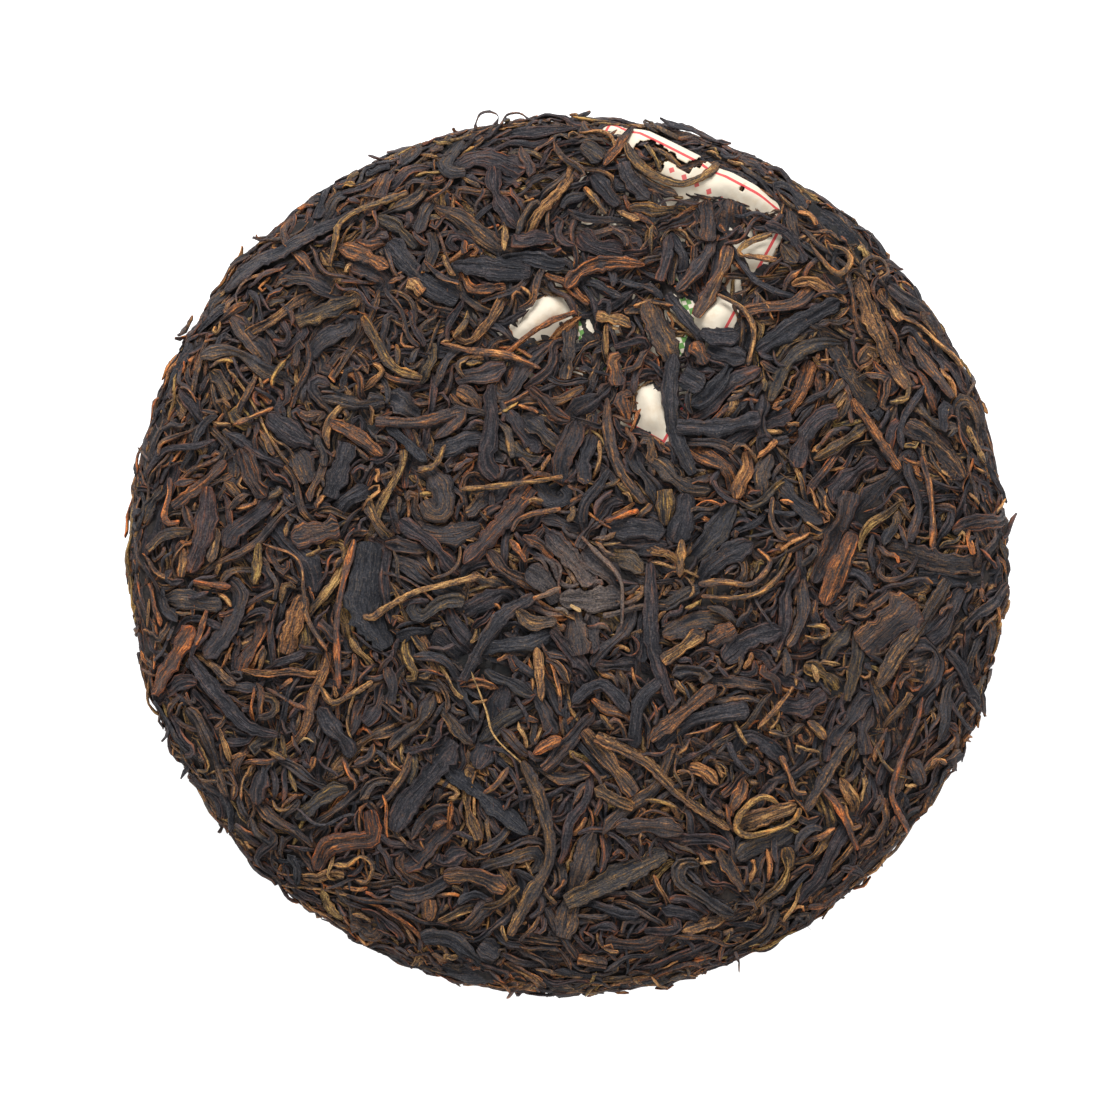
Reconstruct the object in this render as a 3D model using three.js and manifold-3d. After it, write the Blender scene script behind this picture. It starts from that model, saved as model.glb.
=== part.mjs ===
// A pressed round cake of dark tea leaves, lying face up, with a paper ticket pressed in under the
// leaves of its face. Sizes are in millimetres, with +Z up. The origin is under the middle of the
// cake, on the surface that it lies on.
import * as THREE from "three";
import { mergeVertices } from "three/addons/utils/BufferGeometryUtils.js";
import Module from "manifold-3d";

// Driving dimensions of the pressed cake.
const CAKE_RADIUS = 100.2;
const CAKE_HEIGHT = 25;
const FACE_RADIUS = 85;
const FACE_EDGE_HEIGHT = 20.8;
const RIM_HEIGHT = 9.5;
const BASE_RING_OUTER = 84;
const BASE_RING_INNER = 34;
const DIMPLE_DEPTH = 11;

// Handles of the section's curves, which make the hollow underneath steep or shallow, the rim
// round and the face nearly flat.
const DIMPLE_HANDLES = { top: 13.6, mouth: 20.4 };
const LOWER_EDGE_HANDLES = { radius: 93, height: 3 };
const UPPER_EDGE_HANDLES = { height: 15.5, shoulder: { radius: 94.5, height: 19.4 } };
const FACE_HANDLES = { edge: { radius: 56, height: 24 }, middle: 30 };

// The core is the packed mass behind the leaves that show. It comes closer to the surface over
// the ticket, so that the leaves there hang together.
const CORE_INSET = 1.9;
const CORE_INSET_OVER_TICKET = 0.7;
const CORE_BUMP = 0.5;
const CORE_BUMP_OVER_TICKET = 0.2;
const COVER_EDGE = { full: 2, gone: 8 };
const BUMP_LENGTH = 13;
const CORE_AROUND = 36;
const CORE_ROWS = { dimple: 4, base_ring: 3, lower_rim: 4, upper_rim: 4, face: 7 };

// The pressed leaves that show, the largest of the real cake's. They are spread by the golden
// angle between two shares of the section's length, which runs from the middle of the hollow
// underneath, at 0, to the middle of the face, at 1. A bias of 0.5 spreads them evenly over a
// disc, and 1 over a band. They turn at random from the direction round the cake, in degrees.
const LEAF_GROUPS = {
  face: { count: 50, start: 1, end: 0.6, bias: 0.5, turnRange: 90 },
  shoulder: { count: 20, start: 0.6, end: 0.5, bias: 1, turnRange: 40 },
  side: { count: 16, start: 0.5, end: 0.43, bias: 1, turnRange: 20 },
  base: { count: 9, start: 0.05, end: 0.42, bias: 0.5, turnRange: 90 },
};
const LEAF_LENGTH = { shortest: 17, longest: 38 };
const LEAF_WIDTH = { narrowest: 3, widest: 6.6 };
const LEAF_BOW = 2.6;
const LEAF_LIFT = { lowest: -0.3, highest: 0.25 };
const LEAF_STRAYING = 0.1;
const LEAF_SEED = 357;

// The section of a leaf: how far its top and its root are from its spine, how far the spine lies
// under the pressed surface, how far its ends dive under their neighbours and how blunt they are.
const LEAF_RISE = 0.9;
const LEAF_ROOT = 2.6;
const LEAF_SPINE_DEPTH = 0.75;
const LEAF_TIP_DIVE = 1.1;
const LEAF_BLUNTNESS = 0.25;
const LEAF_SIDES = 5;
const LEAF_STEP = 9;
const LEAF_STEPS = { fewest: 4, most: 6 };

// The broad leaf underneath whose flat side the cake rests on.
const RESTING_LEAF = { x: 60, y: 0, turn: 90, length: 34, width: 13, lift: 0.6 };

// The ticket, and how far under the pressed surface it lies.
const TICKET_WIDTH = 49;
const TICKET_LENGTH = 63;
const TICKET_THICKNESS = 0.4;
const TICKET_CENTRE = { x: 16, y: 63 };
const TICKET_TURN = -27.6;
const TICKET_DEPTH = 1.9;
const TICKET_GAP = 0.3;
const WINDOW_REACH = 8;
const TICKET_CELLS = { across: 7, along: 9 };
const WINDOW_SIDES = 7;
const WINDOW_RAGGEDNESS = 0.16;

// Openings between the leaves where the ticket shows: centre, length, width and turn in degrees.
const TICKET_WINDOWS = {
  top_left: { x: 20.4, y: 89.2, length: 14, width: 9, turn: -27 },
  top_right: { x: 37.4, y: 82.6, length: 20, width: 6.4, turn: -30 },
  left: { x: -6.2, y: 51.9, length: 12, width: 5.6, turn: 32 },
  right_edge: { x: 43.3, y: 65.6, length: 8.4, width: 5.2, turn: 52 },
  right_middle: { x: 33.6, y: 51.6, length: 8, width: 5.4, turn: 18 },
  lower: { x: 18.6, y: 34.4, length: 4.6, width: 4.2, turn: 60 },
  bottom_corner: { x: 19.2, y: 28.4, length: 6.4, width: 4.4, turn: -66 },
};

// Leaves that stand out on the face, placed as they lie: turn is in degrees, bend is how far the
// middle bows to one side and lift how far the leaf stands above the others.
const MARKED_LEAVES = {
  olive_blade: { x: 69, y: 49, turn: -64, length: 30, width: 4.4, bend: 1.6, lift: 0.5 },
  long_stalk: { x: -49.6, y: -12, turn: 91, length: 33, width: 2, bend: -1.2, lift: 0.6 },
  broad_black_leaf: { x: -43.5, y: -9.5, turn: 100, length: 24, width: 7.6, bend: 1, lift: 0.3 },
  loop_top: { x: 44, y: -56, turn: -6, length: 17, width: 3.2, bend: 2.6, lift: 0.7 },
  loop_bottom: { x: 44, y: -61.6, turn: -6, length: 15, width: 3.4, bend: -1.8, lift: 0.6 },
  many_stranded: { x: 21.5, y: -51, turn: -36, length: 35, width: 3, bend: 1.6, lift: 0.5 },
  tapered_olive: { x: 78, y: -17, turn: 56, length: 27, width: 4, bend: -1.4, lift: 0.5 },
  broad_rust: { x: 71.5, y: -16.5, turn: 38, length: 14, width: 9, bend: 0, lift: 0.2 },
  pair_stem_left: { x: -6, y: -60.5, turn: -80, length: 33, width: 3, bend: -2.4, lift: 0.4 },
  fan_leaf: { x: 4.6, y: -91, turn: -20, length: 9, width: 5.6, bend: 0, lift: 0.5 },
  pointed_rust: { x: -20.5, y: -73.6, turn: 0, length: 15, width: 6, bend: 0, lift: 0.4 },
  crescent: { x: -50, y: 72, turn: 138, length: 24, width: 2.8, bend: -2.6, lift: 0.5 },
  flat_twig: { x: -17.6, y: 43.6, turn: -14, length: 23, width: 2.2, bend: 1, lift: 0.6 },
  bud: { x: -33.6, y: 58.6, turn: 78, length: 12, width: 3.8, bend: 0, lift: 0.5 },
  over_ticket: { x: 31.4, y: 60, turn: 66, length: 17, width: 4, bend: 1.2, lift: 0.4 },
  upright_stem: { x: 80, y: 10.6, turn: -85, length: 22, width: 2.4, bend: 0.8, lift: 0.5 },
};

// Ends and twigs that stick out past the rim: place round the rim in degrees, height, turn from
// the rim's own direction, and how far the free end stands out.
const STRAY_LEAVES = {
  top_loop: { around: 101, height: 15, turn: 8, length: 12, width: 2.4, reach: 1 },
  top_twig: { around: 74, height: 14, turn: -12, length: 12, width: 2.2, reach: 1.6 },
  right_knob: { around: -22, height: 12, turn: 24, length: 9, width: 2.4, reach: 1.6 },
  lower_right_stub: { around: -57, height: 10, turn: -20, length: 9, width: 2.6, reach: 1.4 },
  lower_twig: { around: -68, height: 9, turn: 14, length: 11, width: 2.2, reach: 1.4 },
  left_thorn: { around: 166, height: 12, turn: 30, length: 7, width: 2, reach: 1.6 },
  left_arc: { around: 173, height: 9, turn: 6, length: 15, width: 2.4, reach: 1 },
  lower_left_end: { around: 219, height: 8, turn: 18, length: 10, width: 2.6, reach: 1.2 },
};

const TEA = { color: 0x40362f, roughness: 0.72, metalness: 0 };
const PAPER = { color: 0xe9e2d6, roughness: 0.85, metalness: 0 };

const SECTION_SAMPLES = 260;
const MERGE_DISTANCE = 1e-4;
const GOLDEN_ANGLE = Math.PI * (3 - Math.sqrt(5));
const degrees = THREE.MathUtils.degToRad;
const random = seededRandom(LEAF_SEED);
const wasm = await Module();
wasm.setup();

// A small repeatable random number generator, from 0 to 1.
function seededRandom(seed) {
  let state = seed;
  return () => {
    state = (Math.imul(state, 1664525) + 1013904223) >>> 0;
    return state / 4294967296;
  };
}

function between(low, high) {
  return low + (high - low) * random();
}

// Half of the cake's section, from the middle of the dimple underneath, out round the rim and in
// over the face, with x as the radius and y as the height.
function cakeSection() {
  const half = new THREE.Path();
  half.moveTo(0, DIMPLE_DEPTH);
  half.bezierCurveTo(DIMPLE_HANDLES.top, DIMPLE_DEPTH, DIMPLE_HANDLES.mouth, 0, BASE_RING_INNER, 0);
  half.lineTo(BASE_RING_OUTER, 0);
  const { radius: lowerRadius, height: lowerHeight } = LOWER_EDGE_HANDLES;
  half.bezierCurveTo(lowerRadius, 0, CAKE_RADIUS, lowerHeight, CAKE_RADIUS, RIM_HEIGHT);
  const { height: upperHeight, shoulder } = UPPER_EDGE_HANDLES;
  const shoulderEnd = [FACE_RADIUS, FACE_EDGE_HEIGHT];
  half.bezierCurveTo(CAKE_RADIUS, upperHeight, shoulder.radius, shoulder.height, ...shoulderEnd);
  const { edge, middle } = FACE_HANDLES;
  half.bezierCurveTo(edge.radius, edge.height, middle, CAKE_HEIGHT, 0, CAKE_HEIGHT);
  return half;
}

const section = cakeSection();
const sectionPoints = section.getSpacedPoints(SECTION_SAMPLES);
const sectionStep = section.getLength() / SECTION_SAMPLES;

// The direction out of the cake at one of the section's samples.
function sectionNormal(index) {
  if (index === 0) return new THREE.Vector2(0, -1);
  if (index === SECTION_SAMPLES) return new THREE.Vector2(0, 1);
  const along = new THREE.Vector2().subVectors(sectionPoints[index + 1], sectionPoints[index - 1]);
  return new THREE.Vector2(along.y, -along.x).normalize();
}

// A point of the pressed surface and the direction out of it, from a sample of the section, a
// distance past it along the section, and the angle round the cake.
function surfaceAt(index, past, angle) {
  const outward = sectionNormal(index);
  const tangent = new THREE.Vector2(-outward.y, outward.x);
  const on = sectionPoints[index].clone().addScaledVector(tangent, past);
  const place = new THREE.Vector3(on.x * Math.cos(angle), on.x * Math.sin(angle), on.y);
  const normal = new THREE.Vector3(outward.x * Math.cos(angle), outward.x * Math.sin(angle), outward.y);
  return { place, normal };
}

// The point of the pressed surface nearest to a point in space.
function nearestOnCake(point) {
  const flat = new THREE.Vector2(Math.hypot(point.x, point.y), point.z);
  const distances = sectionPoints.map((sample) => sample.distanceToSquared(flat));
  const index = distances.indexOf(Math.min(...distances));
  const outward = sectionNormal(index);
  const past = flat.sub(sectionPoints[index]).dot(new THREE.Vector2(-outward.y, outward.x));
  return surfaceAt(index, past, Math.atan2(point.y, point.x));
}

// The point of the face that a flat sheet laid from the middle would reach, following the curve.
function drapedOnFace(x, y) {
  const reach = SECTION_SAMPLES - Math.hypot(x, y) / sectionStep;
  const index = Math.round(reach);
  return surfaceAt(index, (reach - index) * sectionStep, Math.atan2(y, x));
}

// A closed geometry as a solid, its shared corners merged and its empty faces left out.
function solidOf(geometry) {
  const bare = geometry.clone();
  bare.deleteAttribute("normal");
  bare.deleteAttribute("uv");
  const merged = mergeVertices(bare, MERGE_DISTANCE);
  const corners = Array.from(merged.index.array);
  const faces = [];
  for (let start = 0; start < corners.length; start += 3) {
    const [a, b, c] = corners.slice(start, start + 3);
    if (a !== b && b !== c && c !== a) faces.push(a, b, c);
  }
  const vertProperties = merged.attributes.position.array;
  return new wasm.Manifold(new wasm.Mesh({ numProp: 3, vertProperties, triVerts: new Uint32Array(faces) }));
}

function geometryOf(solid) {
  const mesh = solid.getMesh();
  const geometry = new THREE.BufferGeometry();
  geometry.setAttribute("position", new THREE.BufferAttribute(mesh.vertProperties, 3));
  geometry.setIndex(new THREE.BufferAttribute(mesh.triVerts, 1));
  geometry.computeVertexNormals();
  return geometry;
}

// Moves every corner of a geometry to where a function puts it.
function reshape(geometry, placeFor) {
  const position = geometry.attributes.position;
  const corner = new THREE.Vector3();
  for (let index = 0; index < position.count; index += 1) {
    corner.fromBufferAttribute(position, index);
    const place = placeFor(corner);
    position.setXYZ(index, place.x, place.y, place.z);
  }
  return geometry;
}

// 1 over the ticket and 0 away from it, with a soft edge.
function ticketCover(place) {
  const spot = new THREE.Vector2(place.x, place.y).sub(TICKET_CENTRE);
  spot.rotateAround(new THREE.Vector2(), degrees(-TICKET_TURN));
  const past = Math.max(Math.abs(spot.x) - TICKET_WIDTH / 2, Math.abs(spot.y) - TICKET_LENGTH / 2);
  return place.z > RIM_HEIGHT ? 1 - THREE.MathUtils.smoothstep(past, COVER_EDGE.full, COVER_EDGE.gone) : 0;
}

// Low bumps of about a leaf's size, from crossed waves between -1 and 1.
function bumps({ x, y, z }) {
  const wave = (2 * Math.PI) / BUMP_LENGTH;
  const crossed = Math.sin(wave * (x + 0.6 * y)) * Math.sin(wave * (0.9 * y - 0.5 * x + 0.4 * z));
  return 0.6 * crossed + 0.4 * Math.sin(wave * (0.7 * x - 1.3 * y + z) + 1.7);
}

// The core, turned from the section and set back behind the leaves. Each stretch of the section
// has its own number of rows.
function coreSolid() {
  const rows = Object.values(CORE_ROWS).flatMap((count, stretch) =>
    section.curves[stretch].getSpacedPoints(count).slice(0, -1),
  );
  rows.push(new THREE.Vector2(0, CAKE_HEIGHT));
  const turned = new THREE.LatheGeometry(rows, CORE_AROUND).rotateX(Math.PI / 2);
  reshape(turned, (corner) => {
    const { place, normal } = nearestOnCake(corner);
    const cover = ticketCover(place);
    const inset = THREE.MathUtils.lerp(CORE_INSET, CORE_INSET_OVER_TICKET, cover);
    const bump = THREE.MathUtils.lerp(CORE_BUMP, CORE_BUMP_OVER_TICKET, cover);
    return place.addScaledVector(normal, bump * bumps(place) - inset);
  });
  return solidOf(turned);
}

// One pressed leaf, a bowed strip with pointed ends that follows the surface. Its heading is the
// angle from the direction round the cake, and reach lifts one end clear of the surface.
function leafSolid({ centre, heading, length, width, bend = 0, lift = 0, reach = 0 }) {
  const { place, normal } = nearestOnCake(centre);
  const round = new THREE.Vector3(-place.y, place.x, 0).normalize();
  const inward = new THREE.Vector3().crossVectors(normal, round);
  const along = round.multiplyScalar(Math.cos(heading)).addScaledVector(inward, Math.sin(heading));
  const across = new THREE.Vector3().crossVectors(along, normal);
  const steps = THREE.MathUtils.clamp(Math.round(length / LEAF_STEP), LEAF_STEPS.fewest, LEAF_STEPS.most);
  const strip = reshape(new THREE.SphereGeometry(1, LEAF_SIDES, steps), ({ x, y, z }) => {
    const plump = Math.max(1 - y * y, 1e-6) ** -LEAF_BLUNTNESS;
    const sideways = (x * plump * width) / 2 + bend * (1 - y * y);
    const upward = z * plump * (z > 0 ? LEAF_RISE : LEAF_ROOT);
    const dive = reach > 0 && y > 0 ? 0 : LEAF_TIP_DIVE * y ** 4;
    const stand = reach * Math.max(y, 0) ** 2;
    const flat = place.clone().addScaledVector(along, (y * length) / 2).addScaledVector(across, sideways);
    const under = nearestOnCake(flat);
    return under.place.addScaledVector(under.normal, upward + lift - LEAF_SPINE_DEPTH - dive + stand);
  });
  return solidOf(strip);
}

function scatteredLeaves({ count, start, end, bias, turnRange }) {
  return Array.from({ length: count }, (_, index) => {
    const share = THREE.MathUtils.lerp(start, end, ((index + 0.5) / count) ** bias);
    const angle = index * GOLDEN_ANGLE + between(-LEAF_STRAYING, LEAF_STRAYING);
    return leafSolid({
      centre: surfaceAt(Math.round(share * SECTION_SAMPLES), 0, angle).place,
      heading: degrees(between(-turnRange, turnRange)),
      length: between(LEAF_LENGTH.shortest, LEAF_LENGTH.longest),
      width: between(LEAF_WIDTH.narrowest, LEAF_WIDTH.widest),
      bend: between(-LEAF_BOW, LEAF_BOW),
      lift: between(LEAF_LIFT.lowest, LEAF_LIFT.highest),
    });
  });
}

function markedLeaves() {
  return Object.values(MARKED_LEAVES).map(({ x, y, turn, ...leaf }) => {
    const heading = degrees(turn) - Math.atan2(y, x) - Math.PI / 2;
    return leafSolid({ centre: new THREE.Vector3(x, y, CAKE_HEIGHT), heading, ...leaf });
  });
}

function strayLeaves() {
  return Object.values(STRAY_LEAVES).map(({ around, height, turn, ...leaf }) => {
    const angle = degrees(around);
    const centre = new THREE.Vector3(CAKE_RADIUS * Math.cos(angle), CAKE_RADIUS * Math.sin(angle), height);
    return leafSolid({ centre, heading: degrees(turn), ...leaf });
  });
}

function restingLeaf() {
  const { x, y, turn, ...leaf } = RESTING_LEAF;
  const heading = degrees(turn) - Math.atan2(y, x) - Math.PI / 2;
  return leafSolid({ centre: new THREE.Vector3(x, y, 0), heading, ...leaf });
}

// A plate of the ticket's outline laid under the face, grown by a gap on every side, and upwards
// by more where it has to reach out of the cake.
function ticketPlate(gap, reachUp = 0) {
  const width = TICKET_WIDTH + 2 * gap;
  const length = TICKET_LENGTH + 2 * gap;
  const thickness = TICKET_THICKNESS + 2 * gap + reachUp;
  const { across, along } = TICKET_CELLS;
  const plate = new THREE.BoxGeometry(width, length, thickness, across, along, 1);
  reshape(plate, ({ x, y, z }) => {
    const flat = new THREE.Vector2(x, y).rotateAround(new THREE.Vector2(), degrees(TICKET_TURN));
    const { place, normal } = drapedOnFace(flat.x + TICKET_CENTRE.x, flat.y + TICKET_CENTRE.y);
    return place.addScaledVector(normal, z + reachUp / 2 - TICKET_DEPTH);
  });
  return solidOf(plate);
}

// A ragged opening that goes straight down through the face to the ticket.
function windowSolid({ x, y, length, width, turn }) {
  const corners = Array.from({ length: WINDOW_SIDES }, (_, side) => {
    const angle = (side / WINDOW_SIDES) * 2 * Math.PI;
    const half = 0.5 + between(-WINDOW_RAGGEDNESS, WINDOW_RAGGEDNESS) / 2;
    const corner = new THREE.Vector2(Math.cos(angle) * length * half, Math.sin(angle) * width * half);
    return corner.rotateAround(new THREE.Vector2(), degrees(turn));
  });
  const outline = new THREE.Shape(corners);
  const prism = new THREE.ExtrudeGeometry(outline, { depth: 2 * CAKE_HEIGHT, bevelEnabled: false });
  return solidOf(prism.translate(x, y, 0));
}

// All that is cut from the tea for the ticket: the slit that it lies in and the openings above it.
function ticketCut() {
  const openAbove = ticketPlate(TICKET_GAP, WINDOW_REACH);
  return Object.values(TICKET_WINDOWS)
    .map((opening) => windowSolid(opening).intersect(openAbove))
    .reduce((cut, opening) => cut.add(opening), ticketPlate(TICKET_GAP));
}

// Everything below the surface that the cake lies on.
function groundSolid() {
  const size = 3 * CAKE_RADIUS;
  return solidOf(new THREE.BoxGeometry(size, size, CAKE_HEIGHT).translate(0, 0, -CAKE_HEIGHT / 2));
}

// The largest connected piece of a solid, without loose scraps or sealed hollows.
function largestPiece(solid) {
  return solid
    .decompose()
    .reduce((largest, piece) => (piece.volume() > largest.volume() ? piece : largest));
}

function teaSolid() {
  const leaves = [
    ...Object.values(LEAF_GROUPS).flatMap(scatteredLeaves),
    ...markedLeaves(),
    ...strayLeaves(),
    restingLeaf(),
  ];
  const joined = leaves.reduce((tea, leaf) => tea.add(leaf), coreSolid());
  return largestPiece(joined.subtract(groundSolid()).subtract(ticketCut()));
}

function namedMesh(name, solid, finish) {
  const mesh = new THREE.Mesh(geometryOf(solid), new THREE.MeshStandardMaterial(finish));
  mesh.name = name;
  return mesh;
}

const cake = new THREE.Group();
cake.add(namedMesh("tea_cake", teaSolid(), TEA));
cake.add(namedMesh("paper_ticket", ticketPlate(0), PAPER));

export default cake;
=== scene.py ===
"""A pressed round cake of dark tea leaves, with a paper ticket under the leaves of its face.

The cake is built the way it is pressed, from the press plate inwards. Every leaf is laid against
the plate where it finds room, and goes under the leaves laid before it where it doesn't, so the
leaves that show end at one level with dark gaps between them. Lengths are in millimetres, and
become metres only where a mesh is made.
"""

import logging
import math
from collections.abc import Callable
from dataclasses import dataclass, field, replace
from enum import Enum

import bmesh
import bpy
import numpy as np
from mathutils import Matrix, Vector


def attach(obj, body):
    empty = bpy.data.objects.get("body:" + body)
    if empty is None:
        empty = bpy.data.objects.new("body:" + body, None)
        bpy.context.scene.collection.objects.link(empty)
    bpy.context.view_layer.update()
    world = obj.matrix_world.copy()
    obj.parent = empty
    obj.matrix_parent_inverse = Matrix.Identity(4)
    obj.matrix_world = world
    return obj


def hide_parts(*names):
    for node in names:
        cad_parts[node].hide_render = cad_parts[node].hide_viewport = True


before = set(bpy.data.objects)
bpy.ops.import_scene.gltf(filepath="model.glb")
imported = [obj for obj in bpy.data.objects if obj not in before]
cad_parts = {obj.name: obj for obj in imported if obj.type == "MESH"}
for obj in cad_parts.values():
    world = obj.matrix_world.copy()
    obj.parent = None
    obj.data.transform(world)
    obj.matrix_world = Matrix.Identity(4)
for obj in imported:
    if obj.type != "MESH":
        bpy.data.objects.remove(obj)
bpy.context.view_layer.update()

LOG = logging.getLogger("tea_cake")
MM = 0.001
SEED = 357
FULL_TURN = 2 * math.pi

# How far past the rim the leaves of each side lie.
RIM_OVERLAP = 4.5

# How many leaves are laid between two looks for bare places, and the fewest places to go on with.
LAID_BETWEEN_LOOKS = 40
FEWEST_PLACES = 20

# The photograph's frame: its side, the middle of the cake in it and its scale.
PHOTO_SIDE = 1100
PHOTO_CENTRE = (567.5, 553.0)
MM_PER_PIXEL = 0.2259


def from_photo(route: list[tuple[float, float]]) -> np.ndarray:
    """Turns a route of photograph pixels into millimetres on the cake's plan."""
    pixels = np.array(route, float)
    return (pixels - PHOTO_CENTRE) * (MM_PER_PIXEL, -MM_PER_PIXEL)


def bezier(*corners: tuple[float, float], count: int = 160) -> np.ndarray:
    """Points along a cubic curve.

    Args:
        corners: The start, the two handles and the end.
        count: How many points to return.

    Returns:
        The points, one a row.
    """
    start, first, second, end = np.array(corners, float)
    t = np.linspace(0, 1, count)[:, None]
    near = (1 - t) ** 3 * start + 3 * (1 - t) ** 2 * t * first
    return near + 3 * (1 - t) * t**2 * second + t**3 * end


def smoothstep(low: float, high: float, value: np.ndarray) -> np.ndarray:
    """0 below low and 1 above high, with a soft way between them."""
    t = np.clip((value - low) / (high - low), 0, 1)
    return t * t * (3 - 2 * t)


def run_length(route: np.ndarray) -> np.ndarray:
    """The distance from a route's start at each of its points."""
    return np.concatenate([[0], np.cumsum(np.hypot(*np.diff(route, axis=0).T))])


def smooth_route(points: np.ndarray, gap: float) -> np.ndarray:
    """A smooth route through some points, with its own points about a gap apart."""
    ends = np.vstack([2 * points[0] - points[1], points, 2 * points[-1] - points[-2]])
    t = np.linspace(0, 1, 12, endpoint=False)[:, None]
    parts = []
    for a, b, c, d in zip(ends, ends[1:], ends[2:], ends[3:]):
        curve = 2 * b + (c - a) * t + (2 * a - 5 * b + 4 * c - d) * t**2 + (3 * b - 3 * c + d - a) * t**3
        parts.append(curve / 2)
    route = np.vstack([*parts, points[-1:]])
    along = run_length(route)
    even = np.linspace(0, along[-1], max(6, int(along[-1] / gap) + 1))
    return np.stack([np.interp(even, along, route[:, i]) for i in (0, 1)], 1)


def added(name: str, content: bpy.types.ID) -> bpy.types.Object:
    """An object that is new in the scene."""
    piece = bpy.data.objects.new(name, content)
    bpy.context.scene.collection.objects.link(piece)
    return piece


def shaped(name: str, shape: bmesh.types.BMesh, material: bpy.types.Material) -> bpy.types.Object:
    """A finished shape as an object that is new in the scene."""
    mesh = bpy.data.meshes.new(name)
    shape.to_mesh(mesh)
    shape.free()
    mesh.materials.append(material)
    return added(name, mesh)


@dataclass
class CakeSection:
    """The section of the pressed cake by the distance along it: from the middle of its face, out,
    round the rim, and in underneath to the middle of the knot hollow."""

    radius: float = 100.2
    height: float = 25.0
    face_radius: float = 85.0
    face_edge: float = 20.8
    rim_height: float = 9.5
    ring_outer: float = 84.0
    ring_inner: float = 34.0
    hollow: float = 11.0
    step: float = 0.25

    def __post_init__(self) -> None:
        """Samples the section at even distances."""
        edge = (self.face_radius, self.face_edge)
        rim = (self.radius, self.rim_height)
        outer, inner = (self.ring_outer, 0), (self.ring_inner, 0)
        stretches = [
            bezier((0, self.height), (30, self.height), (56, 24), edge),
            bezier(edge, (94.5, 19.4), (self.radius, 15.5), rim),
            bezier(rim, (self.radius, 3), (93, 0), outer),
            np.linspace(outer, inner, 120),
            bezier(inner, (20.4, 0), (13.6, self.hollow), (0, self.hollow)),
        ]
        path = np.vstack([stretches[0], *[stretch[1:] for stretch in stretches[1:]]])
        distance = run_length(path)
        self.length = float(distance[-1])
        self.along = np.arange(0, self.length, self.step)
        self.points = np.stack([np.interp(self.along, distance, path[:, i]) for i in (0, 1)], 1)
        slope = np.gradient(self.points, axis=0)
        slope /= np.hypot(*slope.T)[:, None]
        self.normals = np.stack([-slope[:, 1], slope[:, 0]], 1)
        self.normals[0] = (0, 1)
        self.normals[-1] = (0, -1)
        self.equator = float(self.along[np.argmax(self.points[:, 0])])

    def at(self, along: np.ndarray) -> tuple[np.ndarray, np.ndarray]:
        """The points of the section and its directions outwards, at distances along it."""
        points = [np.interp(along, self.along, self.points[:, i]) for i in (0, 1)]
        normals = [np.interp(along, self.along, self.normals[:, i]) for i in (0, 1)]
        return np.stack(points, -1), np.stack(normals, -1)


class Side(Enum):
    """Which side of the cake a chart is drawn from."""

    FACE = 1
    BASE = -1


@dataclass
class Chart:
    """A flat map of one side of the cake, true to distances from the middle of that side."""

    section: CakeSection
    side: Side

    def place(self, flat: np.ndarray, level: np.ndarray) -> np.ndarray:
        """Puts points of the map on the cake.

        Args:
            flat: The points on the map, with x and y in the last axis.
            level: How far each is above the pressed surface.

        Returns:
            The points in space.
        """
        reach = np.hypot(flat[..., 0], flat[..., 1])
        along = reach if self.side is Side.FACE else self.section.length - reach
        points, normals = self.section.at(along)
        radius = points[..., 0] + normals[..., 0] * level
        height = points[..., 1] + normals[..., 1] * level
        unit = flat / np.maximum(reach, 1e-9)[..., None]
        sideways = self.side.value * unit[..., 1]
        return np.stack([unit[..., 0] * radius, sideways * radius, height], -1)

    def from_plan(self, plan: np.ndarray) -> np.ndarray:
        """Where points seen from straight above lie on the map of the face."""
        upper = self.section.along <= self.section.equator
        reach = np.hypot(plan[..., 0], plan[..., 1])
        along = np.interp(reach, self.section.points[upper, 0], self.section.along[upper])
        return plan * (along / np.maximum(reach, 1e-9))[..., None]


class Waves:
    """Smooth unevenness over a map, mostly between -1 and 1."""

    def __init__(self, rng: np.random.Generator, length: float, count: int = 14) -> None:
        """Draws the waves that are summed.

        Args:
            rng: The source of random draws.
            length: The typical wave's length.
            count: How many waves to sum.
        """
        turn = rng.uniform(0, FULL_TURN, count)
        pace = FULL_TURN / (length * rng.uniform(0.7, 1.5, count))
        self.paces = np.stack([np.cos(turn), np.sin(turn)]) * pace
        self.phases = rng.uniform(0, FULL_TURN, count)
        self.scale = 1 / math.sqrt(count)

    def __call__(self, flat: np.ndarray) -> np.ndarray:
        """The unevenness at points of the map."""
        return np.cos(flat @ self.paces + self.phases).sum(-1) * self.scale


class Build(Enum):
    """How a leaf has dried."""

    STRIP = "strip"
    ROLLED = "rolled"


# The steepest slope that each can follow over the leaves below it.
STEEPEST = {Build.STRIP: 0.55, Build.ROLLED: 0.45}


@dataclass(frozen=True)
class LeafKind:
    """One kind of leaf, with the range of each of its measures.

    Lengths and widths are in millimetres and turns in radians. The tone runs from charcoal at 0,
    over dark brown, to tan at 1, and warmth is how orange its edges and ends are, partly its own
    colour and partly a painted highlight on its ridges.
    """

    piece: str
    build: Build
    length: tuple[float, float]
    half: tuple[float, float]
    thick: tuple[float, float]
    bend: float = 0.7
    wobble: float = 0.25
    hook: float = 0.15
    tone: tuple[float, float] = (0.0, 0.4)
    warmth: tuple[float, float] = (0.0, 0.5)
    blunt: tuple[float, float] = (0.03, 0.2)
    around: int = 12
    ring_gap: float = 1.5
    ridge: tuple[float, float] = (0.15, 0.5)


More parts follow.
